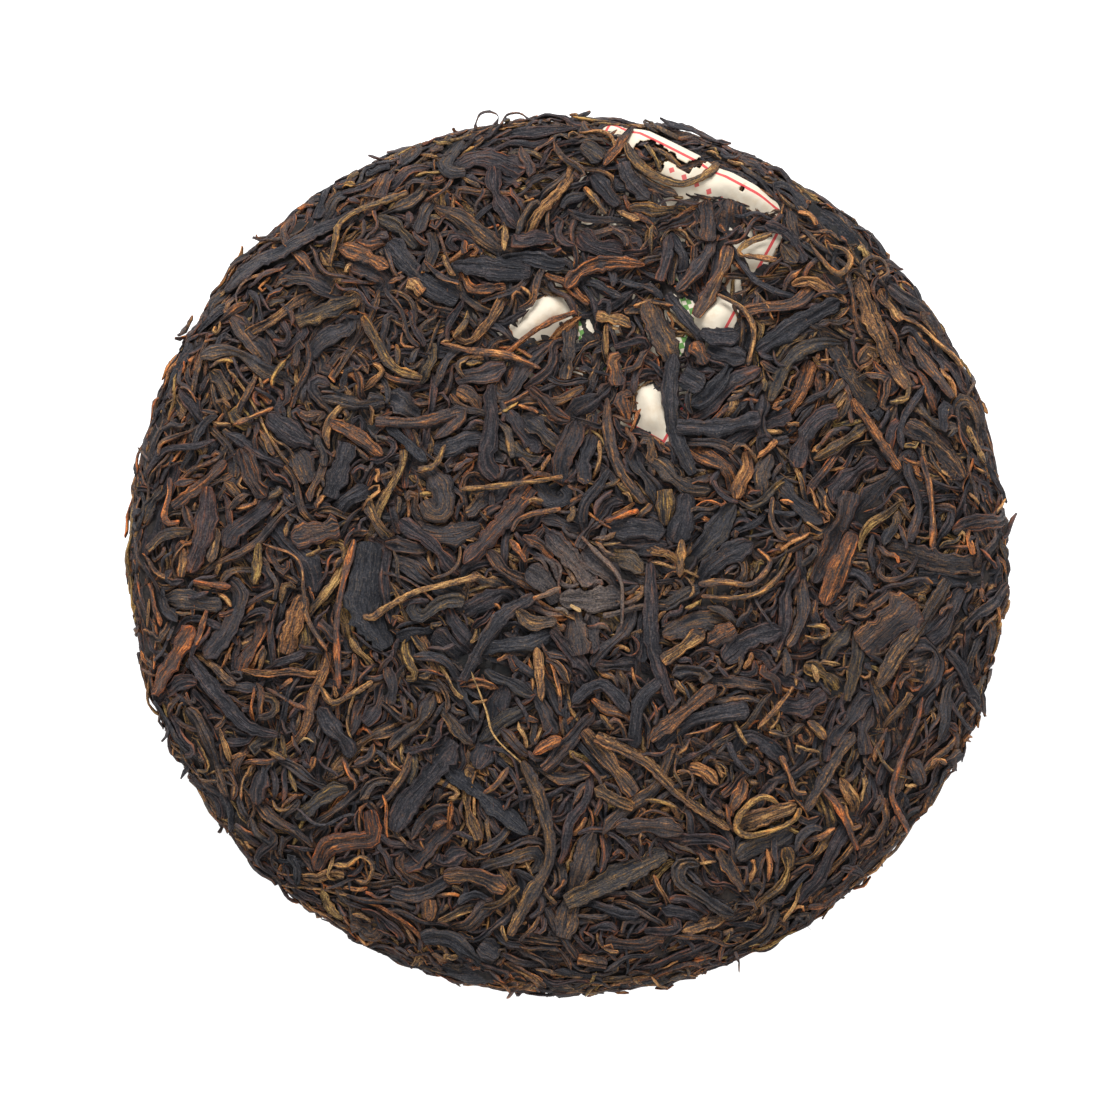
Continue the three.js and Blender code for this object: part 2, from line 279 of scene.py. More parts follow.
BROAD = LeafKind(
    "broad_dark_leaves", Build.STRIP, (8, 24), (1.2, 2.5), (0.8, 1.2), tone=(0.0, 0.42),
    warmth=(0.0, 0.5), around=16, ring_gap=1.3, ridge=(0.5, 1.0), bend=0.7, hook=0.2,
)
NARROW = LeafKind(
    "narrow_dark_leaves", Build.STRIP, (6, 22), (0.6, 1.25), (0.8, 1.2), tone=(0.0, 0.5),
    warmth=(0.0, 0.8), around=11, ring_gap=1.4, ridge=(0.5, 1.0), bend=1.1, wobble=0.36, hook=0.38,
)
ROLLED = LeafKind(
    "rolled_dark_leaves", Build.ROLLED, (5, 22), (0.4, 0.8), (0.9, 1.4), tone=(0.0, 0.58),
    warmth=(0.1, 1.0), around=8, ring_gap=1.2, ridge=(0.4, 0.9), bend=1.2, wobble=0.55, hook=0.45,
)
BROWN = LeafKind(
    "brown_leaves", Build.STRIP, (6, 26), (0.6, 1.9), (0.8, 1.2), tone=(0.4, 0.74),
    warmth=(0.25, 0.95), around=12, ring_gap=1.4, ridge=(0.5, 1.0), bend=0.9, hook=0.28,
)
TIP = LeafKind(
    "buds_and_stems", Build.ROLLED, (3.5, 14), (0.38, 0.8), (0.8, 1.3), tone=(0.5, 0.9),
    warmth=(0.6, 1.2), around=8, ring_gap=1.2, ridge=(0.3, 0.8), bend=0.9, hook=0.3,
)
STEM = LeafKind(
    "buds_and_stems", Build.ROLLED, (8, 28), (0.35, 0.6), (0.7, 1.1), tone=(0.35, 0.8),
    warmth=(0.4, 1.0), around=7, ring_gap=1.5, ridge=(0.1, 0.35), bend=0.45, wobble=0.12,
    blunt=(0.02, 0.06), hook=0.1,
)
FILLER = LeafKind(
    "filling_leaves", Build.STRIP, (3.5, 11), (0.4, 1.0), (0.6, 1.0), tone=(0.05, 0.8),
    warmth=(0.1, 1.0), around=8, ring_gap=1.7, ridge=(0.3, 0.7), bend=0.9, hook=0.2,
)
UNDERSIDE = LeafKind(
    "underside_leaves", Build.STRIP, (9, 30), (0.9, 2.6), (0.7, 1.1), tone=(0.0, 0.5),
    warmth=(0.0, 0.6), around=9, ring_gap=2.3, ridge=(0.3, 0.7), bend=0.7,
)
UNDERSIDE_ROLLED = LeafKind(
    "underside_strands", Build.ROLLED, (7, 28), (0.5, 1.0), (0.9, 1.5), tone=(0.0, 0.7),
    warmth=(0.1, 0.9), around=6, ring_gap=2.1, ridge=(0.3, 0.7), bend=0.9, hook=0.2,
)


@dataclass(frozen=True)
class Round:
    """A round of leaves of one kind, laid where the bed is bare.

    It has how many are laid, the least share of each that must cover bare bed, and how many places
    are compared for each.
    """

    kind: LeafKind
    count: int
    bare: float
    tries: int = 4


MIDDLE_ROUNDS = (Round(replace(BROAD, length=(10, 22)), 60, 0.75),)
FIRST_ROUNDS = (
    Round(BROAD, 150, 0.7),
    Round(BROWN, 120, 0.62),
    Round(NARROW, 520, 0.52),
    Round(ROLLED, 380, 0.48),
    Round(STEM, 60, 0.45),
    Round(TIP, 170, 0.45),
)
TICKET_ROUNDS = (
    Round(NARROW, 60, 0.18, 6),
    Round(BROWN, 30, 0.18, 6),
    Round(ROLLED, 90, 0.18, 6),
    Round(TIP, 60, 0.18, 6),
    Round(replace(NARROW, length=(4, 11)), 220, 0.18, 6),
)
LAST_ROUNDS = (
    Round(NARROW, 260, 0.4),
    Round(BROWN, 180, 0.38),
    Round(ROLLED, 450, 0.34, 5),
    Round(TIP, 220, 0.34, 5),
    Round(FILLER, 1100, 0.28, 6),
    Round(replace(FILLER, length=(2.5, 7), half=(0.45, 0.9)), 1100, 0.18, 6),
)
BASE_ROUNDS = (
    Round(UNDERSIDE, 420, 0.55),
    Round(UNDERSIDE_ROLLED, 400, 0.45),
    Round(replace(UNDERSIDE, length=(6, 16), half=(0.7, 1.6)), 380, 0.3, 5),
    Round(replace(UNDERSIDE_ROLLED, length=(4, 14)), 300, 0.3, 5),
)
STRAY_KINDS = (ROLLED, NARROW, NARROW, TIP)
STRAY_COUNT = 26


@dataclass(frozen=True)
class Landmark:
    """A leaf that stands out in the photograph: its kind, half width, tone, warmth and route."""

    kind: LeafKind
    half: float
    tone: float
    warmth: float
    route: tuple[tuple[float, float], ...]


KINDS = {"broad": BROAD, "narrow": NARROW, "rolled": ROLLED, "brown": BROWN, "tip": TIP, "stem": STEM}


def traced(table: str) -> tuple[Landmark, ...]:
    """Reads leaves from a table of words and numbers.

    Args:
        table: For each leaf its kind, its half width, its tone and its warmth, and then its
            route as a row of x and y in photograph pixels.

    Returns:
        The leaves.
    """
    rows: list[tuple[LeafKind, list[float]]] = []
    for word in table.split():
        if word in KINDS:
            rows.append((KINDS[word], []))
        else:
            rows[-1][1].append(float(word))
    return tuple(
        Landmark(kind, *numbers[:3], tuple(zip(numbers[3::2], numbers[4::2]))) for kind, numbers in rows
    )


# The leaves that stand out on the face.
LANDMARKS = traced(
    """
    tip 0.85 0.76 0.9 773 801 768 797 761 795 754 796 744 803 735 813 732 823 735 829 740 832 748 832
        761 829 775 825 786 820 793 813 795 806
    brown 2 0.7 0.7 734 826 744 820 755 815 768 811 781 807 792 803
    broad 2.6 0.3 0.1 733 853 752 843 772 836 788 828
    stem 0.8 0.42 0.75 358 543 346 590 341 627 343 688
    broad 3.7 0.02 0 372 545 368 590 372 620 390 648
    brown 2 0.6 0.15 857 281 864 305 874 333 890 368 904 391
    stem 0.7 0.62 0.3 904 385 902 402 886 406
    tip 0.7 0.62 0.8 809 250 822 266 837 278 848 265 843 253 826 247
    tip 0.6 0.55 0.35 866 283 861 268 870 258 884 262 886 276 876 283
    tip 1.7 0.74 1 410 285 417 291 424 298
    brown 1.1 0.6 0.9 366 322 378 345 396 372 424 383
    tip 0.8 0.6 0.85 408 197 376 209 343 226 337 245 332 268
    tip 0.8 0.6 0.8 443 349 475 357 508 361 540 374
    stem 0.7 0.66 0.6 462 493 493 491 530 486 562 481
    broad 2.3 0 0.1 455 270 490 274 530 277
    broad 2.6 0.4 0.7 296 540 316 536 342 530
    broad 2.4 0.02 0.1 352 448 344 472 333 500
    broad 2.2 0.12 0.2 224 290 262 262 308 238 357 216
    broad 2.5 0.04 0.2 272 418 290 434 314 448
    tip 0.8 0.6 0.9 421 474 437 470 447 450
    tip 0.7 0.55 1 513 534 520 522 540 516 560 513
    brown 1.9 0.5 0.3 300 326 330 314 358 303
    tip 0.8 0.72 0.55 361 617 376 619 388 610 418 594 450 586 481 579
    brown 2 0.64 0.1 290 654 298 626 308 598
    brown 2.1 0.5 0.95 153 694 175 664 198 628
    narrow 1.5 0.02 0.2 196 658 222 694 250 724 282 734
    tip 0.8 0.7 0.7 325 687 337 702 356 694 376 682
    stem 1.25 0.74 0.6 537 649 540 675 542 700
    broad 2.5 0.03 0.15 455 740 430 778 410 800 398 828
    brown 2.2 0.44 0.75 320 868 330 845 352 838 376 836 374 808
    stem 0.6 0.62 0.8 337 861 352 862 364 853 376 862 370 878 360 876
    narrow 1.3 0.1 0.4 264 822 278 836 259 858 280 885 322 902
    brown 2 0.42 0.8 446 872 478 872 506 884
    brown 1.7 0.6 0.25 431 896 431 906 429 916
    broad 1.9 0.03 0 443 760 482 792 528 830
    narrow 1.4 0.45 0.3 523 760 542 802 550 855 530 892 511 929
    tip 0.8 0.55 1 484 792 498 782 509 766
    tip 1.3 0.7 0.9 534 752 546 744 561 737
    brown 1.3 0.62 0.55 595 736 644 760 680 795 726 826
    brown 1.4 0.62 0.9 660 661 680 648 701 631
    tip 0.8 0.56 0.9 696 586 722 584 748 586 766 566 754 552
    tip 0.7 0.54 0.8 699 598 730 600 756 594 776 576 786 556
    broad 4 0.38 0.5 858 650 882 628 910 604
    broad 1.8 0.46 0.1 872 686 896 650 916 626 942 582
    brown 2.3 0.55 0.6 820 606 834 572 848 536
    narrow 1.4 0.42 0.3 855 623 852 660 842 700
    narrow 1.6 0.5 0.1 648 738 680 712 712 686
    narrow 1.3 0.03 0.1 572 702 596 684 614 694 626 710
    broad 2.4 0.42 0.1 566 898 610 876 664 850
    broad 2.3 0.42 0.15 562 932 576 880 592 830
    brown 1.6 0.55 1 578 956 592 959 606 961
    narrow 1.3 0.4 0.2 848 732 830 758 802 808
    stem 0.7 0.42 0.7 917 698 912 718 890 772 888 800 908 834
    brown 1.3 0.5 0.95 899 761 897 776 892 792
    broad 2 0.03 0.1 892 793 902 808 914 824
    tip 1.1 0.72 0.55 131 500 127 530 126 560 130 618
    broad 2.2 0.05 0.8 213 490 210 530 196 574
    tip 0.8 0.6 0.8 200 583 216 586 236 588
    narrow 1.2 0.4 0.4 177 509 206 488 230 465
    broad 1.9 0.1 0.1 675 431 716 432 756 423
    broad 2.8 0.08 0.1 680 380 690 386 700 392
    stem 0.8 0.5 0.8 918 460 926 504 927 552
    tip 0.8 0.68 0.6 901 320 918 326 938 348 961 368
    brown 1.7 0.42 0.5 906 340 926 370 949 400
    brown 2 0.4 0.35 902 428 932 446 961 480
    tip 0.9 0.7 0.6 966 428 975 446 982 464
    brown 1.1 0.6 0.4 848 404 866 428 878 448 894 472
    brown 1.2 0.5 0.7 810 463 836 448 863 429
    broad 2.4 0.3 0.2 846 496 836 530 810 584
    narrow 1.2 0.45 0.6 606 404 608 440 618 474 642 506
    broad 1.7 0.08 0.1 672 360 668 400 674 440 690 478
    tip 0.9 0.6 1 584 194 594 204 605 219
    brown 1.6 0.55 0.4 566 293 582 276 606 268 643 271
    brown 2.5 0.44 0.45 646 308 658 338 674 370
    tip 0.7 0.66 0.7 633 312 650 307 671 311
    brown 1.5 0.5 0.9 726 252 722 270 710 294 694 322
    stem 0.7 0.62 0.5 716 300 739 314 751 336 745 370
    brown 1.1 0.58 0.5 626 146 630 157 640 169 654 178 669 186 680 188 694 184 707 176 718 163
    narrow 1.2 0.5 0.3 632 168 644 182 660 192 676 200
    broad 1.9 0.1 0.2 622 168 630 186 648 204
    brown 1.1 0.52 0.1 604 168 618 148 632 126
    tip 0.8 0.66 0.6 508 358 530 340 552 326 574 318
    tip 0.9 0.66 0.9 741 262 736 258 745 249 769 239
    tip 0.9 0.66 0.8 742 261 758 263 773 266
    tip 0.6 0.62 1 348 310 346 300 354 296 361 303 358 311
    tip 0.7 0.6 0.9 289 365 282 373 277 381 276 390
    brown 1.8 0.55 0.15 338 250 364 260 390 273
    brown 1.1 0.6 0.8 462 277 475 295 505 291
    narrow 1.5 0.35 0.4 379 426 423 427 464 417 437 443
    narrow 1.1 0.02 0 390 431 410 448 428 465
    brown 1.5 0.5 0.3 335 426 360 440 385 459
    tip 0.7 0.6 0.9 238 428 256 421 276 411
    tip 1.2 0.85 0.1 860 246 864 250 869 256
    tip 1 0.72 0.4 617 216 628 221 638 225
    tip 0.7 0.7 1 776 504 782 505 788 507
    brown 1.3 0.55 0.2 220 531 219 548 216 564
    brown 1.1 0.62 1 188 551 188 564 186 578
    narrow 1.2 0.45 0.5 151 551 167 537 196 533
    narrow 1 0.4 1 188 507 192 519 198 531
    brown 1 0.7 0.4 263 546 262 566 259 585
    stem 0.5 0.5 0.5 268 546 304 564 310 615 331 651
    tip 0.8 0.6 1 151 585 156 606 163 627
    tip 0.8 0.6 1 212 612 207 628 202 645
    stem 0.24 1 0.1 473 672 487 708 496 735 526 765
    stem 0.3 1.1 0 304 742 310 737 318 741
    narrow 1 0 0 292 852 301 866 298 882
    broad 2.4 0.1 0.1 482 940 490 946 498 952
    tip 0.8 0.6 1 511 543 519 553 526 564
    tip 0.6 0.64 0.8 800 637 808 640 819 638 823 632 816 627 802 627
    narrow 1.5 0.02 0.1 631 746 638 702 656 682
    narrow 1.2 0.3 0.3 546 904 562 930 577 956
    stem 0.8 0.5 0.6 818 786 834 807 853 847
    stem 0.55 0.75 0.4 754 727 772 707 788 687
    brown 1.4 0.45 0.8 714 846 727 866 739 886
    tip 0.7 0.6 1 840 803 842 816 848 826 856 824
    brown 1.2 0.5 0.4 881 798 881 822 872 838 857 844
    broad 1.8 0.3 0.2 906 758 912 770 918 783
    tip 0.6 0.6 1 925 763 932 758 940 762
    tip 1.2 0.7 0.9 679 543 678 560 677 579
    narrow 1.5 0.05 0.3 648 566 649 610 652 652 671 709
    broad 1.9 0.05 0.1 656 747 678 728 700 716 744 709
    tip 0.8 0.6 1 776 755 784 772 791 789 801 791
    tip 1.2 0.6 1 803 721 812 727 820 737
    rolled 0.9 0.05 0.2 724 742 734 760 748 772 753 761 742 752
    broad 2.3 0.5 0.1 705 644 718 636 730 629
    broad 2.3 0.05 0.2 721 661 744 640 776 631
    brown 1.8 0.5 0.5 583 730 610 763 633 791
    brown 1.4 0.58 0.5 594 786 612 796 631 805
    stem 0.6 0.7 0.9 644 797 660 799 675 805
    broad 1.9 0.35 0.2 615 824 648 823 680 828
    narrow 1.5 0.3 0.5 543 767 556 755 592 713
    tip 0.8 0.8 0.1 807 665 811 674 812 682
    broad 2 0.35 0.2 706 203 708 222 706 246
    broad 2.7 0.3 0.15 727 203 727 218 724 236
    narrow 1.5 0.3 0.3 712 240 704 262 688 284 675 297
    narrow 1.3 0.12 0.6 668 240 666 262 658 286
    brown 0.9 0.48 0.9 693 252 691 275 682 292
    narrow 1.2 0.02 0.1 670 238 682 262 682 288
    broad 2 0.02 0.1 614 182 632 190 650 199
    broad 1.8 0.02 0.1 593 180 605 196 617 209
    brown 1.8 0.42 0.5 779 250 786 258 794 267
    narrow 1.3 0.12 0.4 764 229 786 238 802 266
    narrow 1.3 0.38 0.2 789 214 793 232 801 252
    broad 2 0.02 0.05 754 355 790 332 836 305
    broad 1.8 0.06 0.1 699 337 716 342 736 341
    brown 1.8 0.5 0.2 692 348 697 357 703 369
    broad 2 0.12 0.1 706 353 724 359 742 363
    broad 2.2 0.28 0.2 582 147 592 153 602 161
    narrow 1.3 0.05 0.1 666 300 678 316 690 332 702 345
    brown 1 0.55 0.6 624 318 640 312 660 309 668 315
    tip 0.5 1.1 0 570 607 575 610 580 613
    tip 0.7 0.6 1.2 534 600 547 596 560 590
    rolled 0.55 0.35 0.5 581 540 598 558 618 580 621 604 620 628
    tip 0.8 0.6 1.1 604 524 620 519 636 514
    tip 1 0.66 0.9 616 487 628 494 640 505
    broad 2.5 0.08 0.1 608 533 634 531 662 535
    broad 2.3 0.12 0.2 606 548 634 550 664 548
    broad 2.4 0.03 0.1 684 498 681 520 673 545
    brown 1.9 0.52 0.5 662 494 664 512 664 528
    broad 2.6 0.1 0.1 560 600 590 602 619 598
    broad 2.5 0.3 0.3 572 614 576 634 580 655
    broad 2.1 0.15 0.2 588 616 591 636 592 654
    brown 1.5 0.5 0.1 518 612 532 624 556 622
    broad 2.4 0.14 0.2 582 554 604 571 623 590
    broad 2.2 0.16 0.3 548 536 570 560 592 585
    broad 2.3 0.44 0.1 606 561 624 562 641 573
    narrow 1.6 0.03 0.1 640 662 640 640 644 612
    narrow 1.5 0.1 0.2 465 680 484 645 504 618 534 598
    broad 2.4 0.32 0.6 466 566 490 540 512 515 530 490
    broad 2.3 0.1 0.1 528 572 545 585 556 604
    brown 1.2 0.45 0.6 524 540 540 548 552 560
    """
)

# The leaves that stand out past the rim.
PROUD_OF_RIM = traced(
    """
    rolled 0.45 0.3 0.4 474 126 478 112 489 108 498 113 494 122
    rolled 0.4 0.35 0.5 500 124 506 112 520 110 530 118
    narrow 0.95 0.1 0.2 661 115 672 119 690 123 706 131 720 139
    narrow 0.9 0.15 0.3 668 124 684 127 700 134 712 142
    tip 0.5 0.3 0.3 137 448 143 455 150 462
    stem 0.35 0.6 0.6 134 478 131 490 134 503
    rolled 0.5 0.2 0.3 738 971 738 961 733 950
    narrow 0.9 0.2 0.3 810 930 802 922 794 914
    rolled 0.5 0.3 0.4 986 717 979 709 971 701
    rolled 0.35 0.3 0.5 984 655 992 656 993 663 985 668
    narrow 1 0.15 0.3 862 876 853 870 838 866
    rolled 0.6 0.3 0.6 176 335 184 326 190 315
    narrow 0.9 0.2 0.5 905 268 896 262 884 262
    """
)

# The places where the ticket shows between the leaves.
TICKET_WINDOWS = (
    ((630, 120), (668, 137), (704, 153), (745, 177), (764, 187), (777, 206), (768, 214), (751, 206),
     (733, 201), (720, 193), (705, 199), (692, 192), (685, 201), (679, 199), (676, 190), (662, 185),
     (645, 176), (634, 163), (627, 148)),
    ((600, 119), (607, 117), (622, 123), (625, 133), (613, 128), (604, 127)),
    ((511, 334), (526, 323), (538, 326), (534, 310), (547, 301), (562, 305), (565, 316), (554, 332),
     (547, 341), (520, 342)),
    ((740, 254), (779, 240), (776, 250), (757, 277), (748, 266)),
    ((692, 332), (696, 317), (713, 305), (735, 320), (724, 337), (713, 334)),
    ((636, 426), (644, 417), (657, 417), (668, 445)),
    ((636, 401), (649, 389), (659, 401), (662, 410), (641, 408)),
    ((580, 343), (581, 328), (591, 324), (591, 338)),
    ((663, 292), (675, 296), (673, 300), (666, 298)),
    ((678, 301), (694, 310), (689, 316), (680, 309)),
    ((677, 344), (684, 340), (685, 350), (679, 356)),
    ((728, 287), (737, 289), (734, 297)),
)
TORN_PLACES = (
    ((634, 145), (642, 139), (652, 142), (662, 147), (670, 149), (672, 155), (679, 161), (685, 169),
     (689, 164), (694, 161), (702, 156), (708, 159), (707, 166), (695, 171), (687, 177), (679, 175),
     (672, 168), (666, 164), (663, 170), (662, 178), (651, 174), (641, 164), (634, 153)),
    ((739, 186), (744, 184), (745, 191), (740, 192)),
)


def inside(polygon: np.ndarray, points: np.ndarray) -> np.ndarray:
    """Which points lie inside a polygon, by how often a line from each crosses its sides."""
    x, y = points[..., 0], points[..., 1]
    found = np.zeros(x.shape, bool)
    for (ax, ay), (bx, by) in zip(polygon, np.roll(polygon, -1, axis=0)):
        if ay == by:
            continue
        crosses = (ay > y) != (by > y)
        found ^= crosses & (x < (bx - ax) * (y - ay) / (by - ay) + ax)
    return found


def inside_any(polygons: list[np.ndarray], points: np.ndarray) -> np.ndarray:
    """Which points lie inside one of some polygons."""
    return np.any([inside(polygon, points) for polygon in polygons], axis=0)


def spread(mask: np.ndarray, steps: int) -> np.ndarray:
    """A region of a bed's cells, widened by some cells."""
    mask = mask.copy()
    for _ in range(steps):
        for axis in (0, 1):
            mask |= np.roll(mask, 1, axis) | np.roll(mask, -1, axis)
    return mask


@dataclass
class Leaf:
    """One leaf where it lies: its spine on the map and its measures at each point of it."""

    kind: LeafKind
    chart: Chart
    spine: np.ndarray
    half: np.ndarray
    thick: np.ndarray
    top: np.ndarray
    tone: float
    warmth: float
    seed: int


def across_of(spine: np.ndarray) -> np.ndarray:
    """The unit direction to the left of a route at each of its points."""
    run = np.gradient(spine, axis=0)
    run /= np.maximum(np.hypot(*run.T), 1e-9)[:, None]
    return np.stack([-run[:, 1], run[:, 0]], 1)


@dataclass
class LeafBed:
    """The room that is left under the press plate on one side of the cake, cell by cell."""

    chart: Chart
    reach: float
    ceiling: Callable[[np.ndarray], np.ndarray]
    pitch: float = 0.35
    deepest: float = -2.6
    rim_rise: float = 1.4
    rim_fade: float = 13.0
    nothing: float = -99.0

    def __post_init__(self) -> None:
        """Sets the plate's level over an empty bed."""
        ticks = np.arange(-self.reach, self.reach + self.pitch, self.pitch)
        x, y = np.meshgrid(ticks, ticks, indexing="ij")
        self.cells = np.stack([x, y], -1)
        self.from_middle = np.hypot(x, y)
        self.plate = self.ceiling(self.cells)
        self.room = self.plate.copy()
        self.highest = np.full_like(self.plate, self.nothing)
        self.bare = self.from_middle < self.reach - 1
        self.shut = np.zeros_like(self.bare)
        edge = self.from_middle - self.reach + RIM_OVERLAP
        self.lowest = self.deepest + self.rim_rise * np.exp(-((edge / self.rim_fade) ** 2))

    def index(self, flat: np.ndarray) -> tuple[np.ndarray, np.ndarray]:
        """The cells that hold points of the map."""
        cell = np.rint((flat + self.reach) / self.pitch).astype(int)
        cell = np.clip(cell, 0, self.room.shape[0] - 1)
        return cell[..., 0], cell[..., 1]

    def footprint(self, spine: np.ndarray, half: np.ndarray, spread: np.ndarray) -> tuple:
        """The cells under a leaf, at some shares of its half width."""
        across = across_of(spine)[:, None, :] * (half[:, None] * spread)[:, :, None]
        return self.index(spine[:, None, :] + across)

    def levels(self, spine: np.ndarray, half: np.ndarray, thick: float, steep: float) -> np.ndarray:
        """The highest level that a leaf's top can take along its spine.

        It goes over the leaves laid before it where they have sunk, and else under them.

        Args:
            spine: The leaf's spine on the map.
            half: Its half width at each point.
            thick: Its thickness.
            steep: The steepest slope that its stiffness allows.

        Returns:
            The level of its top at each point.
        """
        cells = self.footprint(spine, half, np.linspace(-0.85, 0.85, 5))
        plate = self.plate[cells].min(axis=1)
        over = plate - self.highest[cells].max(axis=1) > thick * 0.7
        limit = np.where(over, plate, self.room[cells].min(axis=1))
        along = run_length(spine)
        gaps = np.abs(along[:, None] - along[None, :])
        level = (limit[None, :] + steep * gaps).min(axis=1)
        padded = np.pad(level, 2, mode="edge")
        return np.convolve(padded, (0.1, 0.2, 0.4, 0.2, 0.1), mode="valid")

    def bare_share(self, spine: np.ndarray, half: np.ndarray) -> float:
        """The share of a leaf's footprint that no leaf covers yet, or -1 on a shut place."""
        cells = self.footprint(spine, half, np.linspace(-0.8, 0.8, 5))
        if self.shut[cells].any():
            return -1.0
        return float(self.bare[cells].mean())

    def stamp(self, leaf: Leaf) -> None:
        """Takes the room that a leaf fills off the bed."""
        count = max(3, int(run_length(leaf.spine)[-1] / self.pitch * 1.4))
        old = np.linspace(0, 1, len(leaf.spine))
        new = np.linspace(0, 1, count)
        spine = np.stack([np.interp(new, old, leaf.spine[:, i]) for i in (0, 1)], 1)
        half = np.interp(new, old, leaf.half)
        under = np.interp(new, old, leaf.top - leaf.thick * 0.95)
        lanes = max(3, int(2 * leaf.half.max() / self.pitch * 1.4))
        cells = self.footprint(spine, half, np.linspace(-0.95, 0.95, lanes))
        self.room[cells] = np.minimum(self.room[cells], under[:, None])
        self.highest[cells] = np.maximum(self.highest[cells], np.interp(new, old, leaf.top)[:, None])
        self.bare[cells] = False

    def bare_places(self, region: np.ndarray) -> np.ndarray:
        """The middles of the cells of a region that nothing covers yet."""
        return self.cells[self.bare & region & ~self.shut]


class LeafLayer:
    """Draws leaves and lays them on a bed."""

    def __init__(self, bed: LeafBed, rng: np.random.Generator) -> None:
        """Draws the swirls that neighbouring leaves follow.

        Args:
            bed: The bed that the leaves are laid on.
            rng: The source of random draws.
        """
        self.bed = bed
        self.rng = rng
        self.swirl = Waves(rng, 60.0)
        self.leaves: list[Leaf] = []

    def heading(self, place: np.ndarray) -> float:
        """A direction for a leaf at a place: round the cake near the rim, else with the swirl."""
        rim = float(smoothstep(80, 97, np.hypot(*place)))
        if self.rng.random() < 0.5 + 0.35 * rim:
            round_cake = math.atan2(place[1], place[0]) + math.pi / 2
            swirl = 3.0 * float(self.swirl(place))
            return (round_cake if rim > 0.3 else swirl) + self.rng.normal(0, 0.45)
        return self.rng.uniform(0, FULL_TURN)

    def spine(self, kind: LeafKind, place: np.ndarray, length: float) -> np.ndarray:
        """Draws a leaf's spine through a place."""
        count = max(6, int(length / kind.ring_gap) + 2)
        t = np.linspace(0, 1, count)
        turn = kind.bend * self.rng.normal(0, 0.7) * (t - 0.5)
        sway = self.rng.uniform(0.5, 1.4) * t + self.rng.random()
        turn += kind.wobble * np.sin(FULL_TURN * sway)
        if self.rng.random() < kind.hook:
            hook = self.rng.choice([-1, 1]) * self.rng.uniform(1.0, 3.2)
            turn += hook * smoothstep(self.rng.uniform(0.55, 0.8), 1.0, t)
        turn += self.heading(place)
        steps = np.stack([np.cos(turn), np.sin(turn)], 1) * (length / (count - 1))
        route = np.cumsum(steps, axis=0)
        anchor = int(self.rng.uniform(0.25, 0.75) * count)
        return route - route[anchor] + place

    def measures(self, kind: LeafKind, count: int, half: float = 0.0) -> tuple[np.ndarray, np.ndarray]:
        """Draws a leaf's half width and thickness along its spine.

        Args:
            kind: The leaf's kind.
            count: How many points its spine has.
            half: Its half width, or 0 to draw one.

        Returns:
            The half width and the thickness at each point.
        """
        t = np.linspace(0, 1, count)
        ends = [self.rng.uniform(*kind.blunt) for _ in range(2)]
        fade = np.minimum(np.clip(t / ends[0], 0, 1), np.clip((1 - t) / ends[1], 0, 1)) ** 0.6
        size = kind.half[0] + (kind.half[1] - kind.half[0]) * self.rng.random() ** 1.3
        sway = self.rng.uniform(0.6, 1.8) * t + self.rng.random()
        wide = (half or size) * (1 + 0.14 * np.sin(FULL_TURN * sway)) * self.rng.normal(1, 0.07, count)
        thick = self.rng.uniform(*kind.thick) * (0.55 + 0.45 * fade)
        if kind.build is Build.ROLLED:
            thick = np.minimum(thick, wide * 1.9)
        elif self.rng.random() < 0.3 and not half:
            pinch = np.exp(-(((t - self.rng.uniform(0.25, 0.75)) / 0.09) ** 2))
            wide = wide * (1 - 0.5 * pinch)
            thick = thick * (1 + 0.35 * pinch)
        tips = np.where(t < 0.5, *self.rng.uniform(0.2, 0.9, 2))
        return wide * (tips + (1 - tips) * fade), thick

    def settle(
        self, kind: LeafKind, spine: np.ndarray, half: np.ndarray, thick: np.ndarray, **look: float
    ) -> Leaf:
        """Lays a leaf as high as it can go, and takes its room off the bed.

        Args:
            kind: The leaf's kind.
            spine: Its spine on the map.
            half: Its half width along the spine.
            thick: Its thickness along the spine.
            look: Its tone, its warmth, how far it stays under the plate and how far its ends may
                sink, where they aren't drawn.

        Returns:
            The leaf.
        """
        steep = STEEPEST[kind.build]
        under = look.get("under", abs(self.rng.normal(0, 0.16)))
        top = self.bed.levels(spine, half, float(thick.max()), steep) - under
        t = np.linspace(0, 1, len(spine))
        near, far = np.clip(self.rng.uniform(-0.5, look.get("sunk", 1.8), 2), 0.1, None)
        top -= near * (1 - smoothstep(0, 0.4, t)) + far * smoothstep(0.6, 1, t)
        top = np.maximum(top, self.bed.lowest[self.bed.index(spine)])
        tone = look.get("tone", self.rng.uniform(*kind.tone))
        warmth = look.get("warmth", self.rng.uniform(*kind.warmth))
        seed = int(self.rng.integers(1 << 30))
        leaf = Leaf(kind, self.bed.chart, spine, half, thick, top, tone, warmth, seed)
        self.bed.stamp(leaf)
        self.leaves.append(leaf)
        return leaf

    def lay_landmark(self, landmark: Landmark) -> None:
        """Lays a leaf that stands out, right against the plate."""
        route = self.bed.chart.from_plan(from_photo(landmark.route))
        spine = smooth_route(route, landmark.kind.ring_gap * 0.75)
        half, thick = self.measures(landmark.kind, len(spine), landmark.half)
        look = {"tone": landmark.tone, "warmth": landmark.warmth, "under": 0.0, "sunk": 0.5}
        self.settle(landmark.kind, spine, half, thick, **look)

